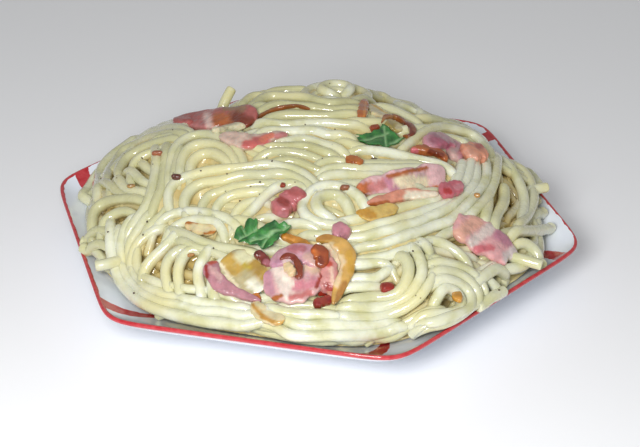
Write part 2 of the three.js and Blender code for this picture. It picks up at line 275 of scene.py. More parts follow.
# the outline of the heap against the background, in the view
SKYLINE = [(88, 240), (92, 205), (100, 168), (110, 155), (120, 147), (140, 137), (160, 127), (180, 120),
           (200, 115), (215, 111), (228, 109), (240, 103), (250, 97), (262, 92), (275, 88), (290, 85),
           (300, 83), (315, 80), (340, 77), (355, 79), (370, 89), (390, 98), (410, 104), (425, 114),
           (440, 121), (460, 125), (480, 136), (492, 155), (510, 163), (525, 168), (540, 181), (552, 200)]
inside = heap_map > NOTHING
angles = np.radians(np.arange(0, 360, 1.5))


def edge_of_heap():
    """Distance from the middle to the heap's edge, in every direction."""
    marks = np.arange(40, HALF_SPAN - 6, 0.25)
    found = []
    for theta in angles:
        on_heap = height_at(inside, marks * np.cos(theta), marks * np.sin(theta))
        found.append(marks[on_heap].max())
    found = np.array(found)
    ring = np.concatenate([found[-4:], found, found[:4]])
    return np.convolve(ring, np.ones(9) / 9, "valid")


edge_ring = edge_of_heap()


def edge_distance(x, y):
    """The heap's edge in the direction of a point."""
    theta = np.degrees(np.arctan2(y, x)) % 360
    return np.interp(theta, np.degrees(np.append(angles, 2 * np.pi)), np.append(edge_ring, edge_ring[0]))


grid_x, grid_y = np.meshgrid(AXIS, AXIS)
to_edge = edge_distance(grid_x, grid_y) - np.hypot(grid_x, grid_y)
skin = np.where(inside, heap_map, plate_map)
covered = topping_top > NOTHING
skin = np.where(covered & inside, np.maximum(skin, topping_low), skin)
skin = np.where(inside, blurred(skin, 2.0), plate_map)
share = np.clip((to_edge - 5.0) / EDGE_RUN, 0, 1)
core_map = np.maximum(plate_map, plate_map + (skin - CORE_DEPTH - plate_map) * share)
core_map = np.where(inside, core_map, plate_map)


def under_the_skyline(x, y):
    """The height at which a point is seen on the skyline of the heap."""
    height = np.full(x.shape, MID_HEIGHT)
    for _ in range(4):
        deep = EYE_DISTANCE + y * RISE_COS - (height - AIM_HEIGHT) * RISE_SIN
        across = AIM_ACROSS + FOCAL_PIXELS * x / deep
        up = (AIM_DOWN - np.interp(across, *zip(*SKYLINE))) / FOCAL_PIXELS
        rise = up * (EYE_DISTANCE + y * RISE_COS) - y * RISE_SIN
        height = AIM_HEIGHT + rise / (RISE_COS + up * RISE_SIN)
    return height


in_view = np.maximum(under_the_skyline(grid_x, grid_y), plate_map + 2)
skin = np.where(to_edge > 0, np.minimum(skin, in_view), skin)
edge_here = edge_distance(grid_x, grid_y) - 2
to_the_rim = np.minimum(1, edge_here / np.maximum(np.hypot(grid_x, grid_y), 1))
edge_x, edge_y = grid_x * to_the_rim, grid_y * to_the_rim
skin = np.where(to_edge < 2, skin[cell_of(edge_y), cell_of(edge_x)], skin)
lip = plate_map.max()
core_map = np.where(plate_map > NOTHING, core_map, lip - 1.0)
ceiling_map = np.where(covered, topping_low + TOPPING_SINK, ROOF)
ground = core_map.copy()
flow = np.zeros((2,) + ground.shape)        # twice the direction of the strand on top, as a vector
stream = flow.copy()                        # the same, smoothed
print("heap edge from", edge_ring.min().round(1), "to", edge_ring.max().round(1), "mm")

# %% [markdown]
# ## Strands under the surface
# Below the strands that are drawn one by one lies a mat of others. Each wanders at random, turns along the
# edge when it comes there, and is pressed in among its neighbours where it would rise above the heap's
# skin. Seeded numbers make the mat the same in every run.

# %% wandering strands
random = np.random.default_rng(7)
strands = []
SCOUTS = 12
END_ROOM = 7.0        # the hidden strands end this far inside the heap's edge
TURN_ROOM = 9         # with less room than this, a strand turns along the edge
TURN_BEND = 0.16
FOLLOW = 0.35         # how readily a strand turns the way of the ones beside it
FOLLOW_MOST = 0.4


def wander(length, curl, drift):
    """A random level route over the heap that starts where the heap is lowest under its skin."""
    theta = random.uniform(0, 2 * np.pi, SCOUTS)
    far = edge_distance(np.cos(theta), np.sin(theta)) * np.sqrt(random.uniform(0, 0.95, SCOUTS))
    spots = np.column_stack([far * np.cos(theta), far * np.sin(theta)])
    hollow = height_at(skin - ground, spots[:, 0], spots[:, 1])
    x, y = spots[np.argmax(hollow)]
    heading = math.atan2(y, x) + math.pi / 2 * random.choice([-1, 1]) + random.normal(0, 0.6)
    count = int(length / STEP)
    bends = np.convolve(random.normal(0, 1, count + 24), np.ones(25) / 5, "valid") * curl + drift
    route = []
    for bend in bends:
        route.append((x, y))
        outward = math.atan2(y, x)
        room = edge_distance(x, y) - math.hypot(x, y)
        if room < TURN_ROOM:
            off = (heading - outward + math.pi) % (2 * math.pi) - math.pi
            away = 1 if off >= 0 else -1
            if abs(off) < math.radians(95):
                bend = away * TURN_BEND * (1 - max(room, 2) / 10)
        pull = height_at(stream[0], x, y), height_at(stream[1], x, y)
        if math.hypot(*pull) > 0.05:
            off = (0.5 * math.atan2(pull[1], pull[0]) - heading + math.pi / 2) % math.pi - math.pi / 2
            bend += FOLLOW * max(-FOLLOW_MOST, min(FOLLOW_MOST, off))
        heading += bend
        x += STEP * math.cos(heading)
        y += STEP * math.sin(heading)
    route = np.array(route)
    room = edge_distance(route[:, 0], route[:, 1]) - np.hypot(route[:, 0], route[:, 1])
    outside = np.flatnonzero(room < STRAND_RADIUS)
    count = outside[0] if len(outside) else len(route)
    while count and room[count - 1] < END_ROOM:
        count -= 1
    return route[:count]


DIVE, DIVE_DEPTH = 6, 3.6     # over how many steps the end of a strand sinks, and how deep
ON_PLATE = 0.9        # a centre line stays this share of the radius above the plate
SHORTEST = 16         # steps of the shortest wandering strand that is kept
# from pale to straw: the sauce coats the strands on the near side more thickly; the darker tints of the back
# and the left part are partly painted shade, where the light falls off
PALE_TINTS, COMMON_TINTS = (0.0, 0.2), (0.14, 0.7)
SAUCE_AND_SHADE_TINTS = {"back": (0.75, 1.0), "left": (0.45, 0.85)}


def keep_strand(line, kind, radius, pale=False):
    """Sinks the ends of a laid strand between its neighbours and stores it."""
    line = line.copy()
    line[:, 2] = softened(line[:, 2])
    n = len(line)
    sink = DIVE_DEPTH * (np.clip(1 - np.arange(n) / DIVE, 0, 1)) ** 2
    line[:, 2] -= sink
    line[:, 2] -= sink[::-1]
    floor = height_at(plate_map, line[:, 0], line[:, 1]) + radius * ON_PLATE
    line[:, 2] = np.where(floor > 0, np.maximum(line[:, 2], floor), line[:, 2])
    # painted shade: the back and the left part draw darker tints
    tint = random.uniform(*(PALE_TINTS if pale else SAUCE_AND_SHADE_TINTS.get(kind, COMMON_TINTS)))
    strands.append({"line": line, "kind": kind, "radius": radius, "tint": tint})
    press(line, radius)


def fill(count, depth, kind, lengths, curl):
    """Lays wandering strands that stay a depth below the skin, sunk into their neighbours where they must."""
    roof = skin - depth * np.clip(to_edge / 8, 0.2, 1)
    for _ in range(count):
        route = wander(random.uniform(*lengths), curl, random.normal(0, 0.02))
        if len(route) < SHORTEST:
            continue
        radius = STRAND_RADIUS * random.uniform(0.94, 1.05)
        z = dropped(route[:, 0], route[:, 1], radius, roof - radius)
        keep_strand(np.column_stack([route, z]), kind, radius)


fill(60, 6.0, "under", (60, 170), 0.022)
fill(110, 3.6, "under", (50, 150), 0.022)
fill(60, 2.4, "under", (40, 120), 0.022)
print("strands of the mat:", len(strands))
print("deepest hollow left:", (skin - ground)[to_edge > 8].max().round(1))

# %% [markdown]
# ## The strands that show
# On the near side and on top, the noodles lie in bundles: a few strands side by side, turned by the fork.
# A bundle is drawn in the camera's view by the route of its first strand and, across the bundle, its last,
# and the ones between are worked out. Each route is laid where its sight line meets the heap, and
# because the heap's height there is known only once the strand has dropped, that is done in rounds.

# %% bundles
# name: number of strands, route of the first, route of the last (None for a single strand)
BACK = {
    "crest behind": (2, [(262, 96), (285, 90), (310, 90)], [(300, 97), (318, 101), (345, 104), (362, 98)]),
    "crest rows": (3, [(250, 110), (258, 101), (272, 97), (300, 99), (330, 104), (362, 104)],
        [(262, 121), (285, 115), (310, 116), (335, 116), (362, 116)]),
    "wide rows": (3, [(256, 124), (285, 125), (320, 124), (362, 126)],
        [(262, 140), (290, 139), (318, 141), (345, 152)]),
    "short rows": (2, [(246, 118), (256, 107), (268, 104)], [(240, 108), (250, 98), (266, 94)]),
    "pale slope": (2, [(214, 137), (236, 146), (252, 156), (272, 162)],
        [(226, 133), (246, 143), (262, 152), (285, 156)]),
    "middle rows": (3, [(262, 148), (285, 148), (310, 148), (335, 156)],
        [(258, 168), (285, 162), (310, 168), (330, 172)]),
    "behind the parsley": (2, [(350, 122), (370, 124), (384, 122)], [(340, 140), (352, 146), (372, 149)]),
}
LEFT = {
    "left hump": (2, [(138, 136), (152, 127), (168, 126), (182, 131)],
        [(150, 142), (162, 137), (178, 138)]),
    "left swirl": (4,
        [(99, 194), (98, 175), (104, 160), (114, 148), (128, 139), (146, 133), (172, 131), (192, 137)],
        [(134, 194), (128, 180), (129, 168), (138, 157), (152, 150), (174, 144)]),
    "left swirl heart": (2, [(130, 172), (144, 182), (158, 186)], [(142, 166), (152, 174), (162, 180)]),
    "left swirl foot": (2, [(106, 184), (118, 195), (136, 200), (158, 200)],
        [(120, 180), (130, 190), (148, 194)]),
    "left edge": (2, [(92, 226), (93, 213), (101, 204), (116, 200), (134, 201), (152, 207)],
        [(103, 228), (108, 218), (120, 213), (140, 219)]),
    "left edge low": (2, [(89, 234), (104, 235), (118, 245)], [(89, 248), (104, 250), (118, 256)]),
    "left drop": (3, [(157, 150), (157, 168), (153, 188), (148, 205), (138, 220), (125, 236)],
        [(181, 148), (178, 170), (172, 192), (166, 210), (154, 224), (144, 236)]),
    "left arch": (3,
        [(168, 182), (171, 163), (176, 148), (188, 138), (204, 134), (220, 139), (234, 148), (243, 160),
         (246, 172)],
        [(189, 176), (190, 164), (198, 156), (212, 154), (224, 159), (232, 168)]),
}
FAN = {
    "fan": (3,
        [(172, 212), (169, 196), (178, 182), (198, 175), (225, 170), (255, 167), (285, 169), (306, 177),
         (322, 190)],
        [(200, 216), (202, 203), (213, 192), (236, 187), (262, 184), (288, 184), (308, 192)]),
    "fan inside": (2, [(214, 220), (217, 206), (230, 197), (250, 193), (268, 191)],
        [(230, 222), (238, 210), (252, 203), (266, 200)]),
    "bright sweep": (1,
        [(234, 226), (248, 214), (258, 204), (268, 194), (280, 187), (294, 185), (312, 193)], None),
    "under the bow": (2, [(226, 219), (245, 222), (262, 228), (285, 236)],
        [(285, 222), (302, 226), (325, 229)]),
    "left bow": (2, [(150, 238), (157, 224), (170, 215), (190, 211), (210, 212), (228, 218), (242, 228)],
        [(166, 240), (172, 230), (184, 223), (204, 222), (222, 228)]),
    "sweep to the bacon": (2, [(168, 228), (186, 237), (206, 242), (232, 250), (262, 254)],
        [(180, 240), (196, 248), (218, 254), (244, 262)]),
    "centre loop": (2,
        [(364, 202), (352, 193), (335, 187), (317, 189), (305, 198), (302, 210), (310, 220), (328, 225),
         (348, 222)],
        [(350, 206), (344, 199), (333, 195), (319, 198), (314, 207), (321, 215), (336, 217)]),
}
RIGHT = {
    "right outside": (2, [(498, 156), (512, 172), (521, 188), (524, 204), (515, 228)],
        [(509, 163), (527, 174), (535, 188), (532, 206), (518, 228)]),
    "right side": (2, [(492, 192), (488, 206), (484, 222)], [(503, 188), (502, 206), (494, 226)]),
    "right edge": (2, [(512, 236), (530, 230), (549, 223)], [(520, 242), (531, 246), (539, 254)]),
    "far right bumps": (2, [(366, 96), (380, 94), (394, 101), (408, 104), (420, 116)],
        [(372, 106), (390, 110), (404, 116), (418, 124)]),
    "right arch behind": (2, [(412, 122), (430, 122), (452, 124), (472, 131), (486, 142)],
        [(400, 130), (416, 130), (432, 128)]),
    "right arch": (2, [(402, 152), (414, 141), (428, 132), (446, 128), (464, 130), (480, 139), (491, 153)],
        [(424, 150), (436, 142), (450, 139), (464, 143), (474, 152)]),
    "right wide under": (3, [(318, 178), (345, 176), (380, 174), (410, 172), (436, 172)],
        [(316, 166), (335, 161), (362, 164), (395, 166), (428, 168)]),
    "right wide": (1, [(352, 150), (378, 152), (402, 156), (424, 161), (444, 168), (457, 178), (463, 190)],
        None),
    "under the strip": (2, [(326, 188), (350, 184), (380, 184), (420, 184)],
        [(366, 200), (395, 197), (420, 194), (440, 190)]),
    "right turn": (5,
        [(348, 262), (375, 256), (400, 250), (426, 241), (450, 230), (470, 216), (484, 200), (493, 184),
         (496, 168), (490, 152)],
        [(330, 222), (356, 220), (385, 213), (412, 206), (436, 200), (450, 190), (458, 178), (462, 166)]),
    "right turn start": (3, [(300, 223), (318, 227), (340, 224)], [(312, 252), (335, 248), (362, 244)]),
}
FRONT = {
    "front foot": (3, [(252, 322), (272, 326), (292, 336), (322, 338), (360, 336), (388, 331), (404, 322)],
        [(268, 306), (288, 314), (320, 316), (352, 318), (385, 315)]),
    "front nest": (4,
        [(111, 224), (110, 244), (115, 262), (122, 280), (134, 296), (152, 307), (182, 316), (215, 322),
         (245, 325), (272, 318)],
        [(136, 246), (136, 262), (144, 275), (162, 285), (188, 290), (214, 293), (240, 300)]),
    "front nest leg": (2, [(135, 214), (124, 230), (120, 248), (124, 264)],
        [(152, 214), (138, 228), (130, 244), (130, 260)]),
    "bright legs": (2, [(166, 226), (150, 233), (138, 244), (131, 256), (131, 268)],
        [(180, 234), (168, 246), (156, 258), (146, 268), (142, 280)]),
    "front short": (2, [(190, 247), (176, 252), (168, 262), (166, 276), (170, 292)],
        [(202, 249), (189, 254), (180, 263), (178, 277), (182, 294)]),
    "front pale": (2, [(212, 248), (202, 260), (198, 274), (201, 294)],
        [(228, 256), (216, 268), (212, 280), (216, 296)]),
    "centre nest": (3,
        [(424, 240), (433, 256), (434, 272), (429, 288), (417, 303), (398, 314), (368, 319), (336, 316)],
        [(400, 254), (408, 266), (408, 279), (398, 291), (376, 297), (346, 296)]),
    "centre pale": (2, [(346, 262), (362, 262), (380, 262), (392, 268)],
        [(350, 276), (366, 277), (382, 273), (390, 268)]),
    "centre floor": (1, [(340, 287), (360, 287), (384, 283)], None),
    "right nest back": (2, [(426, 240), (444, 244), (458, 252), (470, 266)],
        [(428, 254), (446, 262), (466, 268), (490, 276)]),
    "right nest": (4,
        [(430, 262), (452, 265), (472, 274), (486, 288), (492, 304), (487, 320), (470, 330), (444, 335),
         (420, 330)],
        [(438, 292), (450, 289), (461, 294), (463, 304), (453, 312), (436, 316), (416, 318)]),
    "right foot": (2, [(486, 306), (496, 301), (505, 296)], [(476, 284), (488, 276), (499, 268)]),
}

PALE_BUNDLES = {"right turn", "front nest", "front foot", "right wide", "bright sweep", "bright legs",
                "front pale", "centre loop", "left bow", "centre pale", "wide rows", "right arch"}

# %% laying the bundles
DRAW_ROUNDS = 5
SLIDE = 4.0           # a point stays this near to where its sight line first meets the heap
SMOOTHINGS = 10       # rounds of easing, so that small bumps don't bend a drawn route
LEAP_SMOOTHINGS = 12
PROUD = -0.3          # a drawn strand's centre line stays below this height over the skin
OVERHANG = 0.5
SCAN_TOP, SCAN_LOW = 56.0, 12.0       # heights between which a sight line is followed
VIEW_STEP, VIEW_EXTRA = 2.0, 9        # in the view: step of a route, and what it gets more at its ends
SIDE_STRAY, VIEW_STRAY = 0.04, 0.8    # how far a strand strays: as a share of its bundle, and in the view
draw_top = skin + PROUD


def lengthened(line, extra):
    """A line with some more length at both ends, where it will sink in."""
    start, end = line[0] - line[3], line[-1] - line[-4]
    start, end = start / np.linalg.norm(start), end / np.linalg.norm(end)
    return np.vstack([line[0] + extra * start, line, line[-1] + extra * end])


def drawn_in(x, y):
    """Points moved in to the heap's edge where they lie beyond it."""
    scale = np.minimum(1, (edge_distance(x, y) + OVERHANG) / np.maximum(np.hypot(x, y), 1))
    return x * scale, y * scale


def first_met(across, down):
    """Where sight lines first meet the heap, or where they pass closest over it, and if they meet it."""
    heights = np.arange(SCAN_TOP, SCAN_LOW, -CELL)[:, None]
    x, y = at_height(across, down, heights)
    gap = heights - height_at(skin, x, y)
    meets = (gap <= 0).any(0)
    first = np.where(meets, (gap <= 0).argmax(0), gap.argmin(0))
    each = np.arange(len(across))
    return x[first, each], y[first, each], meets


def lay_in_view(route, kind, pale):
    """Lays one strand along a route of the view."""
    across, down = evenly(lengthened(curved(route), VIEW_EXTRA), VIEW_STEP).T
    radius = STRAND_RADIUS * random.uniform(0.95, 1.06)
    met_x, met_y, meets = first_met(across, down)
    slide = np.where(meets, SLIDE, 0.0)
    level_y = at_height(across, down, MID_HEIGHT)[1]

    def in_sight(z):
        """Points of the route at the heights given, without leaps to and from the eye."""
        x, y = at_height(across, down, z)
        share = np.minimum(1, slide / np.maximum(np.hypot(x - met_x, y - met_y), 0.01))
        behind = met_y + (y - met_y) * share - level_y
        for _ in range(LEAP_SMOOTHINGS):
            behind = softened(behind)
        y = level_y + behind
        deep = EYE_DISTANCE + y * RISE_COS - (z - AIM_HEIGHT) * RISE_SIN
        return drawn_in((across - AIM_ACROSS) / FOCAL_PIXELS * deep, y)

    z = height_at(skin, met_x, met_y)
    for _ in range(DRAW_ROUNDS):
        x, y = in_sight(z)
        line = evenly(np.column_stack([x, y]))
        over = dropped(*line.T, radius, draw_top) - height_at(skin, *line.T)
        for _ in range(SMOOTHINGS):
            over = softened(over)
        marks = np.linspace(0, 1, len(line))
        walked = np.concatenate([[0], np.cumsum(np.hypot(np.diff(x), np.diff(y)))])
        z = 0.5 * z + 0.5 * (height_at(skin, x, y) + np.interp(walked / walked[-1], marks, over))
    x, y = in_sight(z)
    line = evenly(np.column_stack([softened(x), softened(y)]))
    z = dropped(*line.T, radius, draw_top)
    keep_strand(np.column_stack([line, z]), kind, radius, pale=pale)


def sampled(line, marks):
    """Points of an evenly stepped line at shares of its length."""
    return np.column_stack([np.interp(marks, np.linspace(0, 1, len(line)), column) for column in line.T])


def lay_bundles(bundles, kind):
    """Lays the bundles of one part of the heap, each from its first strand to its last."""
    for name, (count, first, last) in bundles.items():
        pale = name in PALE_BUNDLES
        outer = evenly(curved(first), 1.0)
        if last is None:
            lay_in_view(outer[::8], kind, pale)
            continue
        inner = evenly(curved(last), 1.0)
        marks = np.linspace(0, 1, max(5, len(outer) // 12))
        for k in range(count):
            part = k / (count - 1) + random.normal(0, SIDE_STRAY)
            a, b = sampled(outer, marks), sampled(inner, marks)
            lay_in_view(a + (b - a) * part + random.normal(0, VIEW_STRAY, a.shape), kind, pale)


for kind, bundles in (("back", BACK), ("left", LEFT), ("right", RIGHT), ("fan", FAN), ("front", FRONT)):
    before = len(strands)
    lay_bundles(bundles, kind)
    print(kind, "strands:", len(strands) - before)

# %% [markdown]
# ## The far side
# Nothing says how the noodles lie on the far side, so they get what the fork makes anywhere: turned nests
# beside each other, and some long strands along the edge that tie them together.

# %% far side
# middle, outer and inner radius, where the turn starts, how far it goes in degrees, number of strands
TURNS = [
    (62, 18, 13, 6, 250, 230, 3),
    (44, 42, 17, 6, 200, 260, 4),
    (14, 60, 16, 6, 170, -240, 4),
    (8, 34, 11, 5, 330, 300, 2),
    (-18, 54, 17, 6, 20, 260, 4),
    (-46, 46, 17, 6, 300, 260, 4),
    (-67, 20, 12, 5, 240, -220, 3),
]
# start and end in degrees, and how far inside the heap's edge
RIM_RUNS = [(16, 74, 5.0), (50, 118, 4.0), (66, 150, 8.5), (104, 168, 4.5), (20, 60, 9.0), (130, 172, 9.0)]

FAR_LOWER = 0.8       # the strands of the far side stay this much lower


def lay_on_heap(x, y, kind):
    """Lays one strand along a level route."""
    x, y = drawn_in(x, y)
    line = evenly(lengthened(np.column_stack([x, y]), 3))
    radius = STRAND_RADIUS * random.uniform(0.95, 1.06)
    z = dropped(*line.T, radius, draw_top - FAR_LOWER)
    keep_strand(np.column_stack([line, z]), kind, radius)


for start, end, inward in RIM_RUNS:
    theta = np.radians(np.linspace(start, end, 60))
    far = edge_distance(np.cos(theta), np.sin(theta)) - inward + 1.5 * np.sin(5 * theta + inward)
    lay_on_heap(far * np.cos(theta), far * np.sin(theta), "far")
for x, y, outer, inner, start, sweep, count in TURNS:
    for k in range(count):
        radius = inner + (outer - inner) * k / max(1, count - 1)
        theta = np.radians(start + random.normal(0, 14) + np.linspace(0, sweep, 50))
        wave = radius * (1 + 0.1 * np.sin(2 * theta + random.uniform(0, 6)))
        lay_on_heap(x + wave * np.cos(theta), y + 0.85 * wave * np.sin(theta), "far")
print("strands of the far side:", sum(s["kind"] == "far" for s in strands))

# %% [markdown]
# ## Filling up
# Where the bundles leave room, more strands run beside them. A map of directions is kept while the
# strands are laid, and the new ones follow it, because noodles that were turned together lie side by side.

# %% gaps
for count, depth in ((70, 2.2), (70, 1.2), (30, 0.8)):
    stream = np.array([blurred(part, 2.5) for part in flow])
    fill(count, depth, "gaps", (24, 90), 0.008)
print("deepest hollow left:", (skin - ground)[to_edge > 8].max().round(1))

# %% loose ends
# Four ends stick out of the heap: one stands up at the back, the others reach over the lip.
LOOSE_ENDS = {
    "upright": [(-32, 35.5, 31), (-31, 37.5, 35.5), (-29, 40, 39.5), (-25.6, 43.6, 43.6)],
    "right": [(62, 0, 22), (68, 2, 23.4), (74, 4.6, 24.4), (79, 5.6, 23.8)],
    "left": [(-56.1, -32.7, 20.5), (-59.8, -38.1, 22), (-63.6, -40.1, 22), (-67.7, -39.3, 21)],
    "front_right": [(55, -33, 22), (61, -36.5, 23), (67, -39, 22.6), (72.4, -40.6, 21.4)],
}
for line in LOOSE_ENDS.values():
    knots = np.array(line, float)
    steps = np.arange(len(knots))
    fine_steps = np.linspace(0, len(knots) - 1, 24)
    line = np.column_stack([np.interp(fine_steps, steps, c) for c in knots.T])
    for _ in range(6):
        line = np.column_stack([softened(c) for c in line.T])
    strands.append({"line": line, "kind": "loose", "radius": STRAND_RADIUS, "tint": 0.45})
print("loose ends:", len(LOOSE_ENDS))

# %% [markdown]
# ## Strands that run into each other
# Two strands that were laid almost in one place would cross in a ragged seam. Real noodles slip past each
# other, so the one that lies lower is drawn thinner there and runs on out of sight inside its neighbour.

# %% slimming
RANKS = ("under", "gaps", "far", "back", "left", "right", "fan", "front", "loose")
SLIM_NEAR, SLIM_FAR = 0.7, 1.5        # distances between two centre lines, in mm
SLIMMEST = 0.35       # the least share of its thickness that a strand keeps
from_below = sorted(strands, key=lambda strand: RANKS.index(strand["kind"]))
neighbours = KDTree(sum(len(strand["line"]) for strand in strands))
for rank, strand in enumerate(from_below):
    for point in strand["line"]:
        neighbours.insert(point, rank)
neighbours.balance()
for rank, strand in enumerate(from_below):
    gap = []
    for point in strand["line"]:
        found = [far for _, other, far in neighbours.find_range(point, SLIM_FAR) if other > rank]
        gap.append(min(found, default=SLIM_FAR))
    strand["slim"] = softened(np.interp(gap, (SLIM_NEAR, SLIM_FAR), (SLIMMEST, 1)))
print("strands with thin stretches:", sum(s["slim"].min() < 0.6 for s in strands))

# %% [markdown]
# ## From lines to strands
# Cooked pasta is a smooth round rod, a little thicker here and thinner there, cut square at its ends.
# A ring of points is carried along each line without twisting, and each end is closed by a cap with a
# soft edge. Hundreds of bent rods are no job for a primitive, so the meshes are made from the rings.

# %% strand meshes
END_RINGS = ((0.0, 0.80), (0.18, 0.93), (0.55, 1.0))     # distance from the end in mm, share of the radius
# the deeper a strand lies under the crests, the more golden and darker it is painted: partly the sauce in the
# hollows, partly painted shade
SAUCE_AND_SHADE_RANGE = 6.0      # how far below the crests a strand is at its most golden
SEEN_SIDES, SEEN_STEP = 12, 1.4
HIDDEN_SIDES, HIDDEN_STEP = 8, 2.4
SWELLS = ((0.045, 6.1, 40), (0.03, 2.3, 90))      # share of the radius, length in mm, shift with the radius


def rings_of(line, radius, slim, sides_round, step):
    """Points of the rings of one strand, and its middle line."""
    line = evenly(line, step)
    slim = np.interp(np.linspace(0, 1, len(line)), np.linspace(0, 1, len(slim)), slim)
    runs = np.concatenate([[0], np.cumsum(np.linalg.norm(np.diff(line, axis=0), axis=1))])
    end = runs[-1]
    marks = np.array([a for a, _ in END_RINGS] + list(runs[1:-1]) + [end - a for a, _ in END_RINGS[::-1]])
    line = np.column_stack([np.interp(marks, runs, c) for c in line.T])
    sizes = np.ones(len(marks))
    sizes[:3] = [s for _, s in END_RINGS]
    sizes[-3:] = [s for _, s in END_RINGS[::-1]]
    swell = sum((size * np.sin(marks / length + shift * radius) for size, length, shift in SWELLS), 1)
    sizes = sizes * swell * radius * np.interp(marks, runs, slim)
    along = np.gradient(line, axis=0)
    along /= np.linalg.norm(along, axis=1)[:, None]
    side = np.cross(along[0], (0, 0, 1.0) if abs(along[0][2]) < 0.9 else (1.0, 0, 0))
    sides = []
    for way in along:
        side = side - way * side.dot(way)
        side /= np.linalg.norm(side)
        sides.append(side)
    sides = np.array(sides)
    ups = np.cross(along, sides)
    turn = np.arange(sides_round) * 2 * np.pi / sides_round
    out = (np.cos(turn)[None, :, None] * sides[:, None, :] + np.sin(turn)[None, :, None] * ups[:, None, :])
    return line[:, None, :] + out * sizes[:, None, None], line


def mesh_from(name, points, faces):
    """A smooth mesh object from points in millimetres and faces."""
    mesh = bpy.data.meshes.new(name)
    mesh.from_pydata([tuple(p) for p in np.asarray(points) * MM], [], faces)
    mesh.validate()
    mesh.shade_smooth()
    piece = bpy.data.objects.new(name, mesh)
    bpy.context.scene.collection.objects.link(piece)
    return piece


def keep_on_points(piece, label, values):
    """Keeps a value, or a colour of four, for each point of a piece."""
    kind, field = ("FLOAT_COLOR", "color") if np.ndim(values) == 2 else ("FLOAT", "value")
    layer = piece.data.attributes.new(label, kind, "POINT")
    layer.data.foreach_set(field, values.astype(np.float32).ravel())


def strand_piece(name, chosen, sides_round, step):
    """One object of many strands, with the tint of each and how deep it lies kept on its points; the depth
    paints the hollows golden and darker, as sauce and painted shade.
    """
    points, faces, tints = [], [], []
    first = 0
    ring = np.arange(sides_round)
    nxt = (ring + 1) % sides_round
    for strand in chosen:
        rings, line = rings_of(strand["line"], strand["radius"], strand["slim"], sides_round, step)
        n = len(rings)
        points += [rings.reshape(-1, 3), line[:1], line[-1:]]
        for k in range(n - 1):
            a = first + k * sides_round
            b = a + sides_round
            faces += np.column_stack([a + ring, a + nxt, b + nxt, b + ring]).tolist()
        start_cap, end_cap = first + n * sides_round, first + n * sides_round + 1
        last = first + (n - 1) * sides_round
        faces += [[start_cap, first + int(j), first + int(i)] for i, j in zip(ring, nxt)]
        faces += [[end_cap, last + int(i), last + int(j)] for i, j in zip(ring, nxt)]
        tints.append(np.full(n * sides_round + 2, strand["tint"]))
        first = end_cap + 1
    points = np.vstack(points)
    piece = mesh_from(name, points, faces)
    # painted shade together with the sauce: how deep each point lies under the crests, less near the heap's
    # edge
    crest_here = height_at(crest, points[:, 0], points[:, 1])
    sunk = np.clip((crest_here - points[:, 2]) / SAUCE_AND_SHADE_RANGE, 0, 1)
    sunk *= np.clip(height_at(to_edge, points[:, 0], points[:, 1]) / 12, 0.2, 1)
    keep_on_points(piece, "tint", np.concatenate(tints))
    keep_on_points(piece, "sunk", sunk)
    return piece


crest = blurred(spread(ground, 3.0, True), 2.5) - 1.0

strand_pieces = []
for kind in ("under", "back", "left", "right", "fan", "front", "far", "loose", "gaps"):
    chosen = [s for s in strands if s["kind"] == kind]
    sides_round, step = (HIDDEN_SIDES, HIDDEN_STEP) if kind == "under" else (SEEN_SIDES, SEEN_STEP)
    half = len(chosen) // 2 if kind == "gaps" else len(chosen)
    for part, some in enumerate((chosen[:half], chosen[half:])):
        if some:
            strand_pieces.append(strand_piece(f"strands_{kind}_{part}", some, sides_round, step))
            print(kind, "strands:", len(some), "faces:", len(strand_pieces[-1].data.polygons))

# %% [markdown]
# ## Bacon and onion
# The bacon is thick sliced belly, fried only here and there: soft pink meat with bands of fat, brown where
# it touched the pan. The onion is cut in strips and rings, fried until it is golden and glassy. Each piece is
# a bar that was cut, bent and torn: a cylinder is cut into short lengths, laid along its route with its own
# width and thickness, made lumpy by a displacement and rounded by a subdivision, as clay would be.

# %% a bar to bend
BAR_SIDES = 20
BAR_CUTS = 38


def bar_blank():
    """A cylinder along Z from -1 to 1, cut into rings."""
    bpy.ops.mesh.primitive_cylinder_add(vertices=BAR_SIDES, radius=1, depth=2, end_fill_type="TRIFAN")
    piece = bpy.context.object
    bpy.ops.object.mode_set(mode="EDIT")
    bpy.ops.mesh.select_all(action="DESELECT")
    bpy.ops.mesh.select_mode(type="EDGE")
    bpy.ops.object.mode_set(mode="OBJECT")
    for edge in piece.data.edges:
        a, b = (piece.data.vertices[i].co for i in edge.vertices)
        edge.select = abs(a.z - b.z) > 1
    bpy.ops.object.mode_set(mode="EDIT")
    bpy.ops.mesh.subdivide(number_cuts=BAR_CUTS)
    bpy.ops.object.mode_set(mode="OBJECT")
    return piece


bar = bar_blank()
print("points of the bar:", len(bar.data.vertices))

# %% laying a bar
LUMP_SIZE = 0.0042
END_POWER = 9
BAR_SQUARENESS = 0.55     # 1 for a round bar, less for a squarer one
lumps = bpy.data.textures.new("lumps", "CLOUDS")
lumps.noise_scale = LUMP_SIZE
smooth_skin = blurred(skin, 5.0)
slope_y, slope_x = np.gradient(smooth_skin, CELL)
rest_map = blurred(ground, 1.0)
print("steepest place of the heap:", round(float(np.hypot(slope_x, slope_y)[to_edge > 8].max()), 2))


def up_at(x, y):
    """The way up from the heap at a point."""
    up = np.column_stack([-height_at(slope_x, x, y), -height_at(slope_y, x, y), np.ones(len(x))])
    return up / np.linalg.norm(up, axis=1)[:, None]


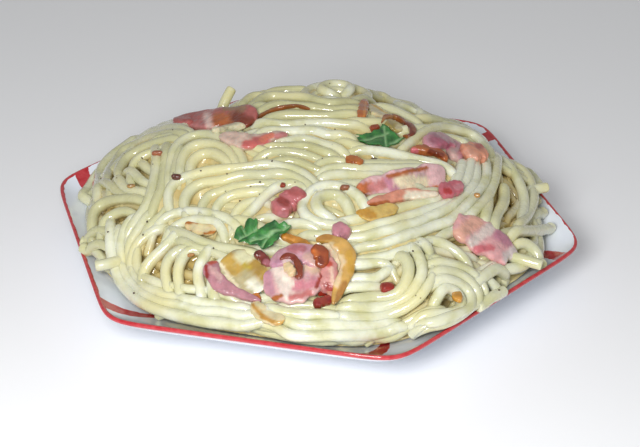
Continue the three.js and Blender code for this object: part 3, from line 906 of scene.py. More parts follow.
def route_on_top(route, lift):
    """Turns a route of the view to a line that lies on the strands."""
    across, down = curved(route, 14).T
    z = np.full(len(across), MID_HEIGHT)
    for _ in range(14):
        x, y = at_height(across, down, z)
        z = 0.5 * z + 0.5 * (height_at(smooth_skin, x, y) + 1.0)
    for _ in range(6):
        x, y = at_height(across, down, z)
        on_top = height_at(rest_map, x, y)
        for _ in range(8):
            on_top = softened(on_top)
        z = 0.5 * z + 0.5 * (on_top + lift)
    x, y = at_height(across, down, z)
    return evenly(np.column_stack([x, y, z]), 0.25)


def resting(bed, across, down, lift):
    """Where a small thing that is seen at a point of the view rests on a map."""
    z = MID_HEIGHT
    for _ in range(20):
        x, y = at_height(across, down, z)
        z = 0.5 * z + 0.5 * (float(height_at(bed, x, y)) + lift)
    return np.array([x, y, z])


def profile(values, count):
    """Values spread smoothly over a count of points."""
    knots = np.column_stack([np.arange(len(values)), values])
    line = curved(knots, 8)
    return np.interp(np.linspace(0, len(values) - 1, count), line[:, 0], line[:, 1])


def chosen_alone(piece):
    """Makes a piece the only one that the next operation works on."""
    bpy.ops.object.select_all(action="DESELECT")
    piece.select_set(True)
    bpy.context.view_layer.objects.active = piece


def applied(piece, *modifiers):
    """Applies modifiers in turn."""
    chosen_alone(piece)
    for modifier in modifiers:
        bpy.ops.object.modifier_apply(modifier=modifier)


def laid_bar(name, route, widths, thick, roll, lift, lump, seed):
    """A bar laid along a route on the heap."""
    line = route_on_top(route, thick * 0.25 + lift)
    piece = bpy.data.objects.new(name, bar.data.copy())
    piece.data.name = name
    bpy.context.scene.collection.objects.link(piece)
    flat = np.array([v.co for v in bar.data.vertices])
    along = (flat[:, 2] + 1) / 2
    spots = along * (len(line) - 1)
    way = np.gradient(line, axis=0)
    way /= np.linalg.norm(way, axis=1)[:, None]
    up = up_at(line[:, 0], line[:, 1])
    side = np.cross(up, way)
    side /= np.linalg.norm(side, axis=1)[:, None]
    up = np.cross(way, side)
    lean = math.radians(roll)
    across = side * math.cos(lean) + up * math.sin(lean)
    over = up * math.cos(lean) - side * math.sin(lean)
    centre, across, over = (np.column_stack([np.interp(spots, np.arange(len(line)), c) for c in rows.T])
                            for rows in (line, across, over))
    wide = np.interp(along, np.linspace(0, 1, 60), profile(widths, 60) / 2)
    tip = np.clip(1 - np.abs(2 * along - 1) ** END_POWER, 0.12, 1) ** 0.5
    tone = np.random.default_rng(seed)
    ragged = 1 + 0.09 * np.sin(along * tone.uniform(9, 16) + tone.uniform(0, 6))
    ragged += 0.05 * np.sin(along * tone.uniform(25, 40) + tone.uniform(0, 6))
    reach = np.hypot(flat[:, 0], flat[:, 1])
    theta = np.arctan2(flat[:, 1], flat[:, 0])
    round_x = np.sign(np.cos(theta)) * np.abs(np.cos(theta)) ** BAR_SQUARENESS * reach
    round_y = np.sign(np.sin(theta)) * np.abs(np.sin(theta)) ** BAR_SQUARENESS * reach
    place = centre + across * (round_x * wide * ragged * tip)[:, None]
    place = place + over * (round_y * thick / 2 * tip)[:, None]
    piece.data.vertices.foreach_set("co", (place * MM).ravel())
    swell = piece.modifiers.new("lumps", "DISPLACE")
    swell.texture, swell.strength, swell.mid_level = lumps, lump * MM * 2, 0.5
    rounding = piece.modifiers.new("rounding", "SUBSURF")
    rounding.levels = rounding.render_levels = 1
    applied(piece, "lumps", "rounding")
    piece.data.shade_smooth()
    return piece


# %% [markdown]
# Meat and onion change colour over a few millimetres, so the tones are painted on the points, as strokes
# of a brush in the view: from, to, half width and tone. The edge of a stroke is made uneven.

# %% painting
PAINT_WAVER, PAINT_FADE = 0.25, 0.6     # shares of a stroke's half width


def linear(code):
    """A web colour as linear red, green, blue and 1."""
    parts = [int(code[i:i + 2], 16) / 255 for i in (1, 3, 5)]
    return [c / 12.92 if c <= 0.04045 else ((c + 0.055) / 1.055) ** 2.4 for c in parts] + [1]


def grain(points, size, seed):
    """Soft uneven values between -1 and 1 for points in millimetres."""
    tone = np.random.default_rng(seed)
    total = np.zeros(len(points))
    for k in range(5):
        way = tone.normal(size=3)
        way *= 2 * np.pi / (size * tone.uniform(0.6, 1.6)) / np.linalg.norm(way)
        total += np.sin(points @ way + tone.uniform(0, 6.3)) * tone.uniform(0.5, 1)
    return np.clip(total / 2.2, -1, 1)


def from_stroke(across, down, start, end):
    """How far points of the view are from a straight stroke, in the view's own units."""
    a, b = np.array(start, float), np.array(end, float)
    run = b - a
    length = max(run.dot(run), 1e-6)
    t = np.clip(((across - a[0]) * run[0] + (down - a[1]) * run[1]) / length, 0, 1)
    return np.hypot(across - a[0] - t * run[0], down - a[1] - t * run[1])


def painted(piece, base, strokes, seed):
    """Keeps a tone for each point: the base, then strokes over it."""
    points = np.empty(len(piece.data.vertices) * 3)
    piece.data.vertices.foreach_get("co", points)
    points = points.reshape(-1, 3) / MM
    across, down = to_view(points)
    tone = np.tile(linear(base), (len(points), 1))
    waver = grain(points, 2.2, seed)
    for start, end, half, code in strokes:
        off = from_stroke(across, down, start, end)
        cover = (half * (1 + PAINT_WAVER + PAINT_WAVER * waver) - off) / (half * PAINT_FADE)
        cover = np.clip(cover, 0, 1)[:, None]
        tone = tone * (1 - cover) + np.array(linear(code)) * cover
    keep_on_points(piece, "tone", tone)


print("white as linear light:", linear("#FFFFFF"))

# %% bacon pieces
LEAN, PALE, MEAT = "#C27C7A", "#D3ABAC", "#A04840"
RED, FAT, ROAST, CRISP, DARK = "#A63030", "#E2D4B2", "#A65C30", "#742E16", "#4E1A10"

# name: route, widths and thickness in mm, roll in degrees, base tone, strokes
BACON = {
    "back_left": ([(174, 123), (190, 121), (208, 120), (226, 118), (243, 118), (254, 122)],
        [7.5, 10, 10.5, 11, 11, 9], 3.4, 16, "#AC5E58",
        [((175, 116), (202, 114), 5, MEAT), ((176, 128), (206, 128), 4, LEAN),
         ((207, 116), (212, 129), 4.5, "#D6B4AA"), ((218, 120), (232, 119), 7, ROAST),
         ((226, 108), (244, 108), 3.5, "#8C6A4E"), ((236, 117), (251, 123), 6, CRISP),
         ((253, 128), (254, 130), 4, DARK)]),
    "back_left_fat": ([(212, 131), (222, 129), (234, 127), (246, 126)],
        [2, 3.2, 3.4, 2], 2.2, 0, "#CFC7A6", []),
    "back_left_low": ([(220, 136), (233, 139), (248, 142), (262, 141), (276, 136), (288, 135)],
        [3, 6, 7, 6, 4, 2.6], 2.6, 8, "#C9AE9E",
        [((246, 145), (266, 139), 5, "#C0605A"), ((262, 140), (272, 135), 3, "#CE745C"),
         ((278, 136), (284, 134), 3.5, LEAN)]),
    "upper_right": ([(427, 147), (436, 141), (447, 142), (454, 150), (456, 160)], [5, 8, 9, 7.5, 5], 3.2, 0,
        "#BF8792", [((436, 139), (448, 145), 6, "#A65E70"), ((452, 152), (455, 159), 5, "#C8A49C")]),
    "upper_right_edge": ([(411, 151), (420, 150), (430, 151), (440, 154), (446, 161)],
        [1.6, 3, 4, 3.2, 2.4], 2.6, 0, ROAST,
        [((430, 152), (441, 155), 3, CRISP), ((411, 151), (416, 151), 3, "#C76A72")]),
    "upper_right_end": ([(464, 156), (474, 153), (485, 152)], [6.5, 8.5, 7.5], 4.4, 0, "#CE8C70",
        [((479, 145), (482, 145), 4, "#B0584C"), ((467, 152), (475, 157), 4, "#DA9E86")]),
    "centre_strip": ([(356, 189), (368, 187), (385, 185), (403, 182), (422, 179), (438, 176), (446, 176)],
        [3.6, 6.6, 7.6, 8, 8.6, 9, 8.4], 3.0, 36, PALE,
        [((357, 189), (369, 187), 6.5, "#B8683A"), ((374, 187), (384, 184), 6, LEAN),
         ((389, 180), (395, 189), 5, "#C48698"), ((402, 181), (422, 184), 8, FAT),
         ((388, 176), (426, 168), 2.2, ROAST), ((406, 192), (440, 187), 2.2, "#BE744A")]),
    "centre_low": ([(366, 204), (385, 200), (405, 195), (424, 195), (438, 194)], [2, 3.6, 4, 3.6, 2.4], 2.2,
        10, "#CE8A72", [((370, 205), (388, 202), 2.4, ROAST), ((408, 196), (436, 195), 5, "#DCCFB8")]),
    "centre_tip": ([(439, 191), (450, 190), (463, 185)], [5.4, 6, 2.6], 3.2, 0, "#B8626C",
        [((446, 191), (449, 191), 3.5, RED), ((457, 187), (463, 185), 3, "#C48086")]),
    "right_large": ([(453, 226), (470, 232), (488, 241), (504, 251), (514, 259)], [10, 13, 13.5, 12, 7],
        3.2, 0, "#D9A2A2",
        [((460, 234), (476, 222), 8, "#D6A28E"), ((473, 241), (491, 228), 6, "#D4C2BA"),
         ((499, 235), (510, 242), 6, "#BC7C8E"), ((477, 250), (491, 247), 4, "#C46A70"),
         ((508, 257), (515, 250), 6, "#D6C6C2"), ((458, 244), (476, 256), 1.6, CRISP),
         ((508, 268), (511, 270), 3, CRISP)]),
    "centre_cube": ([(303, 192), (290, 201), (276, 212)], [6, 6.8, 6.4], 4.6, 0, "#B86A6C",
        [((281, 200), (286, 203), 4, "#8E3A34"), ((292, 192), (303, 194), 4, "#A65654"),
         ((280, 214), (286, 215), 3, "#C8828A")]),
    "fold_body": ([(262, 284), (280, 282), (300, 278), (322, 272)], [8, 14, 15.5, 11], 2.8, 0, "#CFA6A2",
        [((266, 262), (270, 290), 6, "#C08C98"), ((279, 268), (288, 292), 8.5, "#DDCCC0"),
         ((300, 264), (312, 276), 6, "#CFA4A6"), ((297, 287), (319, 281), 5.5, "#C67E88"),
         ((292, 297), (310, 293), 3.5, "#B86C68"), ((266, 302), (281, 296), 2.4, "#A8602E"),
         ((316, 287), (323, 271), 2.0, "#963A2E"), ((306, 268), (318, 270), 4, "#D2B49A"),
         ((284, 280), (292, 284), 2.5, "#E6DCCC")]),
    "fold_top": ([(271, 266), (284, 258), (297, 253), (311, 257), (320, 266)], [4, 6.4, 7, 7, 5], 3.0, -8,
        "#C0909A",
        [((291, 249), (303, 249), 4, "#A8666C"), ((270, 268), (280, 263), 4, "#BA8698"),
         ((308, 256), (318, 264), 5, "#CCA69A"), ((285, 262), (296, 262), 3, "#D2B8B4")]),
    "fold_hook": ([(280, 260), (287, 256), (294, 258), (299, 266), (300, 276), (294, 277)],
        [1.5, 2.0, 2.2, 2.2, 2.0, 1.3], 1.8, 0, "#7E3418", [((288, 256), (294, 258), 3, "#7A2C1C")]),
    "fold_core": ([(287, 264), (290, 270), (294, 275)], [2.6, 3, 2.4], 2.2, 0, "#D9BE92", []),
    "fold_curl": ([(254, 254), (261, 256), (266, 261), (270, 265)], [2, 2.8, 3, 2.2], 2.4, 0, "#6E2A22",
        [((254, 253), (258, 254), 2.5, "#5A1C14"), ((266, 262), (270, 266), 3, "#9A5A62")]),
    "fold_crust": ([(312, 248), (319, 252), (323, 259), (318, 266)], [3.4, 4.8, 4.4, 2.6], 2.4, 0,
        "#92421C", [((314, 252), (318, 258), 3, "#BC6428"), ((320, 258), (321, 263), 3, CRISP)]),
    "front_tail": ([(214, 262), (212, 272), (219, 283), (233, 291), (248, 297), (261, 301)],
        [4.6, 5.4, 4.8, 3.4, 2.4, 1.4], 2.6, 0, "#AE7A82",
        [((214, 270), (220, 278), 3, "#C49C98"), ((206, 266), (207, 277), 1.8, "#8E302C"),
         ((210, 262), (215, 261), 3, "#BC5240"), ((211, 268), (213, 272), 2, "#D2A4A0")]),
    "front_right": ([(327, 259), (329, 270), (329, 281), (325, 292)], [4.4, 5, 5, 4.4], 3.8, 0, "#C88A84",
        [((323, 261), (329, 264), 4, "#BC4A34"), ((327, 286), (331, 290), 4, "#98342A"),
         ((331, 268), (333, 284), 2, "#E2BEA8")]),
    "front_right_edge": ([(313, 304), (318, 303), (325, 301), (332, 298)], [2.8, 3, 3, 3.2], 2.8, 0,
        "#8E3224", [((315, 303), (318, 303), 3, "#7E1C18"), ((329, 300), (332, 298), 3, "#7E2020")]),
    "small": ([(332, 233), (341, 233), (348, 236)], [4.4, 6.4, 4.4], 3.6, 0, "#B87A84", []),
}
# pieces that lie on others: millimetres above the strands
RAISED = {"fold_body": 0.8, "fold_top": 1.6, "fold_hook": 4.4, "fold_core": 3.9, "fold_curl": 1.6,
          "fold_crust": 3.6, "front_right": 1.0, "front_left": 0.8, "back_left_fat": 0.8, "front_ring": 1.0,
          "front_ring_inside": 0.5}
BACON_LUMPS, ONION_LUMPS = 0.45, 0.3      # how far a bar is made uneven, in mm


def laid_bars(prefix, rows, lump, first_seed):
    """Lays and paints the bars of one kind; each has a seed of its own."""
    laid = {}
    for seed, (name, (route, widths, thick, roll, base, strokes)) in enumerate(rows.items(), first_seed):
        laid[name] = laid_bar(prefix + name, route, widths, thick, roll, RAISED.get(name, 0), lump, seed)
        painted(laid[name], base, strokes, seed)
    return laid


bacon = laid_bars("bacon_slice_", BACON, BACON_LUMPS, 0)
print("bacon slices:", len(bacon))

# %% onion pieces
ONION = {
    "front_left": ([(227, 255), (238, 266), (251, 277), (264, 289)], [9, 12.5, 13, 9], 1.8, 0, "#B2A67F",
        [((224, 256), (234, 266), 9, "#B69546"), ((240, 256), (250, 260), 6, "#CCC8A2"),
         ((246, 266), (248, 268), 3.5, "#B6A03B"), ((256, 265), (267, 278), 6, "#A7863D"),
         ((252, 284), (262, 291), 5, "#E6E4D0"), ((220, 264), (238, 288), 2, "#E0D6B4")]),
    "front_left_edge": ([(249, 292), (254, 296), (259, 301)], [2.6, 3.4, 2.6], 2.0, 0, "#B4702C",
        [((257, 299), (260, 302), 3, "#96382A")]),
    "front_ring": (
        [(316, 240), (326, 239), (337, 243), (345, 251), (348, 262), (346, 273), (341, 283), (337, 294),
         (333, 304)], [2.6, 3.8, 4.8, 5, 5, 4.6, 3.8, 3.2, 2.2], 2.2, 0, "#C49A50",
        [((316, 238), (330, 237), 3, "#B4803A"), ((349, 252), (351, 270), 3.5, "#BE9338"),
         ((344, 284), (336, 304), 3, "#A8783C"), ((330, 246), (341, 262), 4.5, "#D6C096"),
         ((341, 262), (336, 284), 3.5, "#D3BA92")]),
    "front_ring_inside": ([(320, 246), (331, 252), (336, 264), (335, 280), (330, 297)],
        [3, 4.6, 5, 4.6, 2.6], 1.6, 0, "#D8C6A6",
        [((328, 252), (331, 264), 3, "#D2A090"), ((332, 270), (332, 284), 2.5, "#D9B4A0"),
         ((336, 262), (338, 282), 2, "#E2D8BC"), ((330, 290), (330, 298), 3, "#C08A74")]),
    "front_strip": ([(281, 236), (291, 239), (302, 244), (310, 250)], [2, 2.8, 3.2, 3], 2.2, 0, "#B4792A",
        [((284, 237), (294, 240), 1.5, "#C98C3C"), ((300, 245), (310, 250), 3, "#A4601E")]),
    "front_bottom": ([(254, 302), (259, 310), (267, 316), (276, 319), (285, 318)], [3, 4.4, 4.8, 4.6, 3],
        1.8, 0, "#D2C49A",
        [((253, 305), (262, 316), 2.4, "#B98A3C"), ((262, 317), (276, 323), 2.4, "#B98C44"),
         ((276, 323), (288, 322), 2.2, "#C49C58"), ((268, 308), (284, 311), 3, "#E0DCC4")]),
    "sliver_left": ([(185, 224), (195, 226), (206, 229), (216, 231)], [3.6, 5.2, 5.2, 3.4], 1.5, 0,
        "#D3BE8E",
        [((184, 222), (197, 222), 2, "#A8662C"), ((205, 233), (216, 232), 1.8, "#B0702E"),
         ((194, 227), (206, 229), 3.5, "#DACEA4")]),
    "ring_back": ([(381, 123), (386, 118), (395, 117), (404, 122), (412, 129), (411, 136), (403, 136)],
        [1.5, 1.9, 2, 2.3, 2.5, 2.4, 1.7], 2.0, 0, "#8E5228",
        [((406, 126), (412, 136), 4.5, "#6E2E18"), ((384, 119), (394, 117), 2.5, "#A8723E")]),
    "ring_back_inside": ([(385, 123), (393, 126), (402, 131)], [5, 6.4, 4.6], 1.8, 0, "#B5A468",
        [((386, 124), (394, 127), 4, "#A08C48"), ((398, 127), (404, 132), 3, "#C8BC90")]),
    "back_upright": ([(365, 100), (363, 108), (361, 119)], [2.4, 3.6, 2.8], 2.2, 0, "#B0642A",
        [((366, 102), (364, 116), 1.2, "#C8823E")]),
    "back_upright_wall": ([(370, 105), (378, 112), (387, 119)], [4.6, 6.4, 4], 1.6, 0, "#CFC49C",
        [((372, 104), (388, 114), 1.2, "#C9A24A")]),
    "back_crumb": ([(371, 130), (375, 128), (379, 127)], [2, 2.6, 2], 2.2, 0, "#8E4224", []),
    "golden_centre": ([(356, 213), (370, 214), (386, 210), (398, 206)], [3, 5.4, 5.4, 3], 1.1, 0, "#CDAE62",
        [((360, 210), (372, 215), 5, "#C08E34")]),
    "brown_centre": ([(345, 160), (353, 160), (363, 163)], [3.4, 4, 2.6], 1.6, 0, "#B0662A",
        [((347, 161), (354, 163), 2.5, "#98501E")]),
    "strip_back": ([(256, 119), (266, 113), (280, 108), (296, 106), (310, 109)], [1, 1.6, 1.7, 1.4, 0.9],
        1.4, 0, "#8A5228", [((270, 111), (284, 107), 2, "#96582A")]),
}
onion = laid_bars("onion_cut_", ONION, ONION_LUMPS, 40)
bpy.data.objects.remove(bar)
print("onion pieces:", len(onion))

# %% [markdown]
# ## Parsley
# Two torn leaves of parsley lie on the noodles, wilted a little by the warmth. A leaf is a thin sheet with a
# toothed outline, folded along its veins. The outline is filled with a net of small triangles, raised
# along the veins, laid on the strands and given the thickness of a leaf.

# %% leaves
LEAF_NET = 0.45
LEAF_THICKNESS = 0.28
LEAF_LIFT = 1.5
VEIN_HALF, VEIN_RUN = 1.6, 6      # how far a vein is pale and how far the leaf rises from it, in the view
PARSLEY = {
    "front": (
        [(234, 241), (235, 236), (237, 231), (239, 227), (241, 225), (243, 226), (244, 229), (246, 224),
         (250, 222), (254, 223), (256, 221), (258, 224), (257, 229), (262, 230), (267, 226), (272, 225),
         (275, 224), (279, 226), (284, 223), (288, 225), (291, 225), (289, 230), (287, 233), (284, 236),
         (279, 238), (280, 241), (278, 244), (274, 246), (273, 249), (268, 251), (263, 250), (260, 247),
         (254, 247), (247, 246), (241, 245), (238, 243), (240, 240)],
        [((240, 240), (258, 229)), ((250, 243), (272, 235)), ((262, 247), (270, 236)),
         ((268, 236), (290, 226)), ((246, 236), (242, 227))], 1.6),
    "back": (
        [(356, 137), (360, 138), (357, 141), (361, 143), (359, 146), (364, 146), (372, 146), (380, 147),
         (386, 148), (390, 146), (396, 145), (400, 141), (405, 138), (399, 137), (394, 134), (390, 131),
         (386, 127), (382, 126), (379, 131), (374, 132), (371, 134), (366, 135), (362, 137)],
        [((362, 142), (388, 134)), ((384, 128), (386, 146)), ((390, 144), (402, 138))], 1.2),
}
leaf_bed = blurred(spread(ground, 0.6, True), 0.6)


def leaf(name, outline, veins, ruffle, lift):
    """A thin leaf from its outline in the view, raised between its veins."""
    ring = curved(outline + outline[:1], 2)[:-1]
    x, y, z = resting(rest_map, *ring.mean(axis=0), lift)
    up = up_at(np.array([x]), np.array([y]))[0]
    edge = []
    for across, down in ring:
        h = z
        for _ in range(12):
            px, py = at_height(across, down, h)
            h = 0.5 * h + 0.5 * (z - (up[0] * (px - x) + up[1] * (py - y)) / up[2])
        edge.append((px, py))
    edge = np.array(edge)
    low, high = edge.min(axis=0), edge.max(axis=0)
    gx, gy = np.meshgrid(np.arange(low[0], high[0], LEAF_NET), np.arange(low[1], high[1], LEAF_NET))
    gx = gx + (np.arange(gx.shape[0]) % 2)[:, None] * LEAF_NET / 2
    inside = np.column_stack([gx.ravel(), gy.ravel()])
    far = np.array([np.hypot(*(edge - p).T).min() for p in inside])
    spots = [Vector(p) for p in edge] + [Vector(p) for p in inside[far > LEAF_NET * 0.7]]
    border = [(k, (k + 1) % len(edge)) for k in range(len(edge))]
    net, _, faces, *_ = delaunay_2d_cdt(spots, border, [], 1, 1e-5)
    net = np.array([tuple(v) for v in net])
    heights = z - (up[0] * (net[:, 0] - x) + up[1] * (net[:, 1] - y)) / up[2]
    points = np.column_stack([net, heights])
    across, down = to_view(points)
    near = np.min([from_stroke(across, down, start, end) for start, end in veins], axis=0)
    raised = ruffle * (np.clip(near / VEIN_RUN, 0, 1) ** 0.8 - 0.3)
    points[:, 2] += raised + 0.5 * grain(points, 5.0, 3) * ruffle * 0.6
    points[:, 2] = np.maximum(points[:, 2], height_at(leaf_bed, points[:, 0], points[:, 1]) + 0.5)
    piece = mesh_from(name, points, [list(f) for f in faces])
    # pale along the veins: partly the veins' own colour, partly painted highlight
    pale = np.clip(1.2 - near / VEIN_HALF, 0, 1)
    keep_on_points(piece, "vein_and_highlight", pale)
    solid = piece.modifiers.new("thickness", "SOLIDIFY")
    solid.thickness, solid.offset = LEAF_THICKNESS * MM, 0
    applied(piece, "thickness")
    piece.data.shade_smooth()
    return piece


parsley = {name: leaf("parsley_leaf_" + name, *row, LEAF_LIFT) for name, row in PARSLEY.items()}
print("leaf faces:", [len(p.data.polygons) for p in parsley.values()])

# %% [markdown]
# ## Crumbs and pepper
# Crumbs of crisp bacon and onion and coarse ground pepper lie between the strands. A crumb is a broken
# lump with flat sides: one ball is pressed square and made uneven, and each crumb is a copy of it in its
# own size.

# %% crumbs
CRUMB_SQUARENESS = 0.62
# place in the view, half sizes in mm, tone
BACON_CRUMBS = [((388, 288), (2.1, 1.7, 1.3), "#8A2014"), ((176, 177), (1.5, 0.9, 0.9), "#5C2A1A"),
                ((157, 153), (1.6, 0.8, 0.8), "#9C5A38"), ((345, 188), (1.4, 0.8, 0.8), "#845034"),
                ((283, 185), (0.8, 0.9, 0.7), "#963A22"), ((322, 289), (1.3, 1.0, 1.1), "#8E2A1C")]
ONION_CRUMBS = [((457, 297), (1.5, 2.3, 1.0), "#C08A34"), ((477, 195), (0.9, 0.8, 0.6), "#A67C44"),
                ((191, 260), (1.1, 0.9, 0.6), "#B0804A"), ((131, 186), (1.2, 0.8, 0.6), "#B08A50")]
PEPPER_SEEN = [(142, 158), (201, 171), (147, 221), (143, 235), (108, 232), (99, 248), (134, 293),
               (297, 134), (272, 161), (225, 276), (413, 251), (499, 290), (260, 182), (240, 200),
               (492, 254), (481, 253)]
PEPPER_GRAINS = 90
FINE = 0.8            # smaller crumbs than this, in mm, lie turned to any side


def ball_blank(cuts):
    """A ball pressed towards a cube, as points and faces."""
    bpy.ops.mesh.primitive_ico_sphere_add(subdivisions=cuts, radius=1)
    piece = bpy.context.object
    points = np.array([v.co for v in piece.data.vertices])
    faces = [list(f.vertices) for f in piece.data.polygons]
    bpy.data.objects.remove(piece)
    return np.sign(points) * np.abs(points) ** CRUMB_SQUARENESS, faces


def turned(points, rng):
    """The points turned to any side."""
    axis, _ = np.linalg.qr(rng.normal(size=(3, 3)))
    return points @ axis


def crumbs_piece(name, rows, cuts, depth, seed):
    """One object of crumbs; each keeps its tone."""
    blank, faces = ball_blank(cuts)
    rng = np.random.default_rng(seed)
    points, net, tones = [], [], []
    for place, half, code in rows:
        on_map = len(place) == 3
        centre = np.array(place, float) if on_map else resting(ground, *place, depth * half[2])
        lump = blank * np.array(half)
        lump = lump * (1 + 0.16 * grain(lump, 2.2 * max(half), rng.integers(99)))[:, None]
        swing = rng.uniform(0, 6.3) if max(half) < FINE else rng.uniform(-0.3, 0.3)
        if max(half) < FINE:
            lump = turned(lump, rng)
        c, s = math.cos(swing), math.sin(swing)
        x, y, z = lump.T
        lump = np.column_stack([x * c - y * s, x * s + y * c, z])
        first = sum(len(p) for p in points)
        points.append(lump + centre)
        net += [[first + i for i in f] for f in faces]
        tones.append(np.tile(linear(code), (len(lump), 1)) * rng.uniform(0.85, 1.15))
    piece = mesh_from(name, np.vstack(points), net)
    keep_on_points(piece, "tone", np.vstack(tones))
    return piece


bacon_crumbs = crumbs_piece("bacon_crumbs", BACON_CRUMBS, 4, 0.5, 5)
onion_crumbs = crumbs_piece("onion_crumbs", ONION_CRUMBS, 4, 0.4, 6)
specks = [(place, (0.34, 0.3, 0.22), "#57493A") for place in PEPPER_SEEN]
specks.append(((374, 160), (1.1, 0.9, 0.7), "#6A5B4A"))
while len(specks) < PEPPER_GRAINS:
    x, y = random.uniform(-72, 72, 2)
    if height_at(to_edge, x, y) > 4:
        size = random.uniform(0.14, 0.3)
        spot = (x, y, float(height_at(ground, x, y)) - 0.05)
        specks.append((spot, (size, size * 0.8, size * 0.6), "#5E5040"))
pepper = crumbs_piece("pepper_ground", specks, 2, 0.2, 8)
print("crumbs:", len(BACON_CRUMBS) + len(ONION_CRUMBS), "grains of pepper:", len(specks))

# %% [markdown]
# ## Sauce
# Under and between the strands stands the sauce of egg yolk, cream and cheese. It is one closed body that
# fills the heap from the plate up to a little below the strands, so no gap looks through to the plate.

# %% sauce
SAUCE_TURNS, SAUCE_RINGS = 480, 96
SAUCE_INSET = 5.0
SAUCE_SINK = 0.95
SAUCE_BRIDGE = 1.2        # hollows narrower than twice this stay level
SAUCE_SHORE = 1.5         # how steeply the sauce rises from the plate
OVER_PLATE = 0.3

steep = np.sqrt(1 + slope_x ** 2 + slope_y ** 2)
level = spread(spread(ground, SAUCE_BRIDGE, True), SAUCE_BRIDGE, False) - SAUCE_SINK * steep
level = np.minimum(level, plate_map + 0.5 + SAUCE_SHORE * np.clip(to_edge - SAUCE_INSET, 0, None))
level = blurred(spread(level, 0.8, False), 0.8)
theta = np.arange(SAUCE_TURNS) * 2 * np.pi / SAUCE_TURNS
reach = edge_distance(np.cos(theta), np.sin(theta)) - SAUCE_INSET
share = np.arange(1, SAUCE_RINGS + 1) / SAUCE_RINGS
x = (reach * np.cos(theta))[:, None] * share
y = (reach * np.sin(theta))[:, None] * share
x, y = x.ravel(), y.ravel()
bottom = height_at(plate_map, x, y) + OVER_PLATE
top = np.maximum(height_at(level, x, y), bottom + 0.1)
count = len(x)
rim = slice(SAUCE_RINGS - 1, None, SAUCE_RINGS)
middle = [[0, 0, float(height_at(level, 0, 0))], [0, 0, float(height_at(plate_map, 0, 0)) + OVER_PLATE]]
points = np.vstack([np.column_stack([x, y, top]), np.column_stack([x, y, bottom])[rim], middle])
faces = []
for i in range(SAUCE_TURNS):
    a, b = i * SAUCE_RINGS, (i + 1) % SAUCE_TURNS * SAUCE_RINGS
    low_a, low_b = count + i, count + (i + 1) % SAUCE_TURNS
    faces += [[len(points) - 2, a, b], [len(points) - 1, low_b, low_a]]
    for k in range(SAUCE_RINGS - 1):
        faces.append([a + k, a + k + 1, b + k + 1, b + k])
    last = SAUCE_RINGS - 1
    faces.append([a + last, low_a, low_b, b + last])
sauce = mesh_from("sauce_between_strands", points, faces)
print("faces of the sauce:", len(faces))

# %% [markdown]
# ## Plate
# The plate is white porcelain, round at its foot and six-sided at its lip, pressed in a mould and glazed.
# A thin red line runs round the lip and one red brush stroke leads out over each corner, both painted by
# hand under the glaze. The half section is drawn as a line and spun round the axis; then the rings are
# pushed out towards the corners, more and more from the foot to the lip.

# %% plate
PLATE_TURN = 16.3
CORNER_SHARPNESS = 26
ROUND_UP_TO, SIX_SIDED_FROM = 43.5, 71.8
SPIN_STEPS = 288
KEEP_INSIDE = 0.9965  # a smooth plate is wider than the model's faceted one, so it is drawn in a little
SHARP_EDGE = math.radians(50)
GLAZE_MARGIN = 0.4    # points less than this under the upper outline belong to the upper side
LIP_OUT, LIP_UP = 76.6, 17.1
TINY = 0.01
# half section: distance from the axis and height, in mm
PLATE_UPPER = [(0, 5.4), (20, 5.4), (40, 5.5), (46, 5.85), (50, 6.35), (54, 7.25), (58, 8.5), (62, 10.3),
               (66, 12.3), (70, 14.35), (73, 15.95), (75.2, 17.2)]
PLATE_LIP = [(75.6, 17.55), (75.85, 17.82), (76.1, 17.95), (76.4, 17.93), (76.62, 17.8), (76.76, 17.55),
             (76.8, 17.2), (76.74, 16.9)]
PLATE_LOWER = [(76.3, 16.4), (75.4, 15.5), (72, 12.8), (68, 9.7), (64, 7.4), (60, 5.6), (55, 3.5),
               (51.5, 2.3), (50, 0.7), (49.5, 0.15), (49.1, 0), (46, 0), (45.6, 0.2), (44.6, 1.3),
               (43.8, 1.6), (0, 1.6)]


def hexagon(theta):
    """Outline of a rounded hexagon: 1 at the middle of a side, more at a corner."""
    leans = [np.clip(np.cos(theta - math.radians(PLATE_TURN + 60 * k)), 0, None) for k in range(6)]
    return sum(lean ** CORNER_SHARPNESS for lean in leans) ** (-1 / CORNER_SHARPNESS)


section = PLATE_UPPER + PLATE_LIP + PLATE_LOWER
mesh = bpy.data.meshes.new("plate_porcelain")
mesh.from_pydata([(s * MM, 0, z * MM) for s, z in section], [(k, k + 1) for k in range(len(section) - 1)], [])
plate = bpy.data.objects.new("plate_porcelain", mesh)
bpy.context.scene.collection.objects.link(plate)
chosen_alone(plate)
bpy.ops.object.mode_set(mode="EDIT")
bpy.ops.mesh.select_all(action="SELECT")
bpy.ops.mesh.spin(steps=SPIN_STEPS, angle=2 * math.pi, center=(0, 0, 0), axis=(0, 0, 1))
bpy.ops.mesh.select_all(action="SELECT")
bpy.ops.mesh.remove_doubles(threshold=0.00001)
bpy.ops.mesh.normals_make_consistent(inside=False)
bpy.ops.object.mode_set(mode="OBJECT")

spun = np.array([v.co for v in plate.data.vertices]) / MM
across = np.hypot(spun[:, 0], spun[:, 1])
theta = np.arctan2(spun[:, 1], spun[:, 0])
share = np.clip((across - ROUND_UP_TO) / (SIX_SIDED_FROM - ROUND_UP_TO), 0, 1)
share = share * share * (3 - 2 * share)
pushed = across * (1 + share * (hexagon(theta) - 1)) * KEEP_INSIDE
place = np.column_stack([pushed * np.cos(theta), pushed * np.sin(theta), spun[:, 2]])
plate.data.vertices.foreach_set("co", (place * MM).ravel())

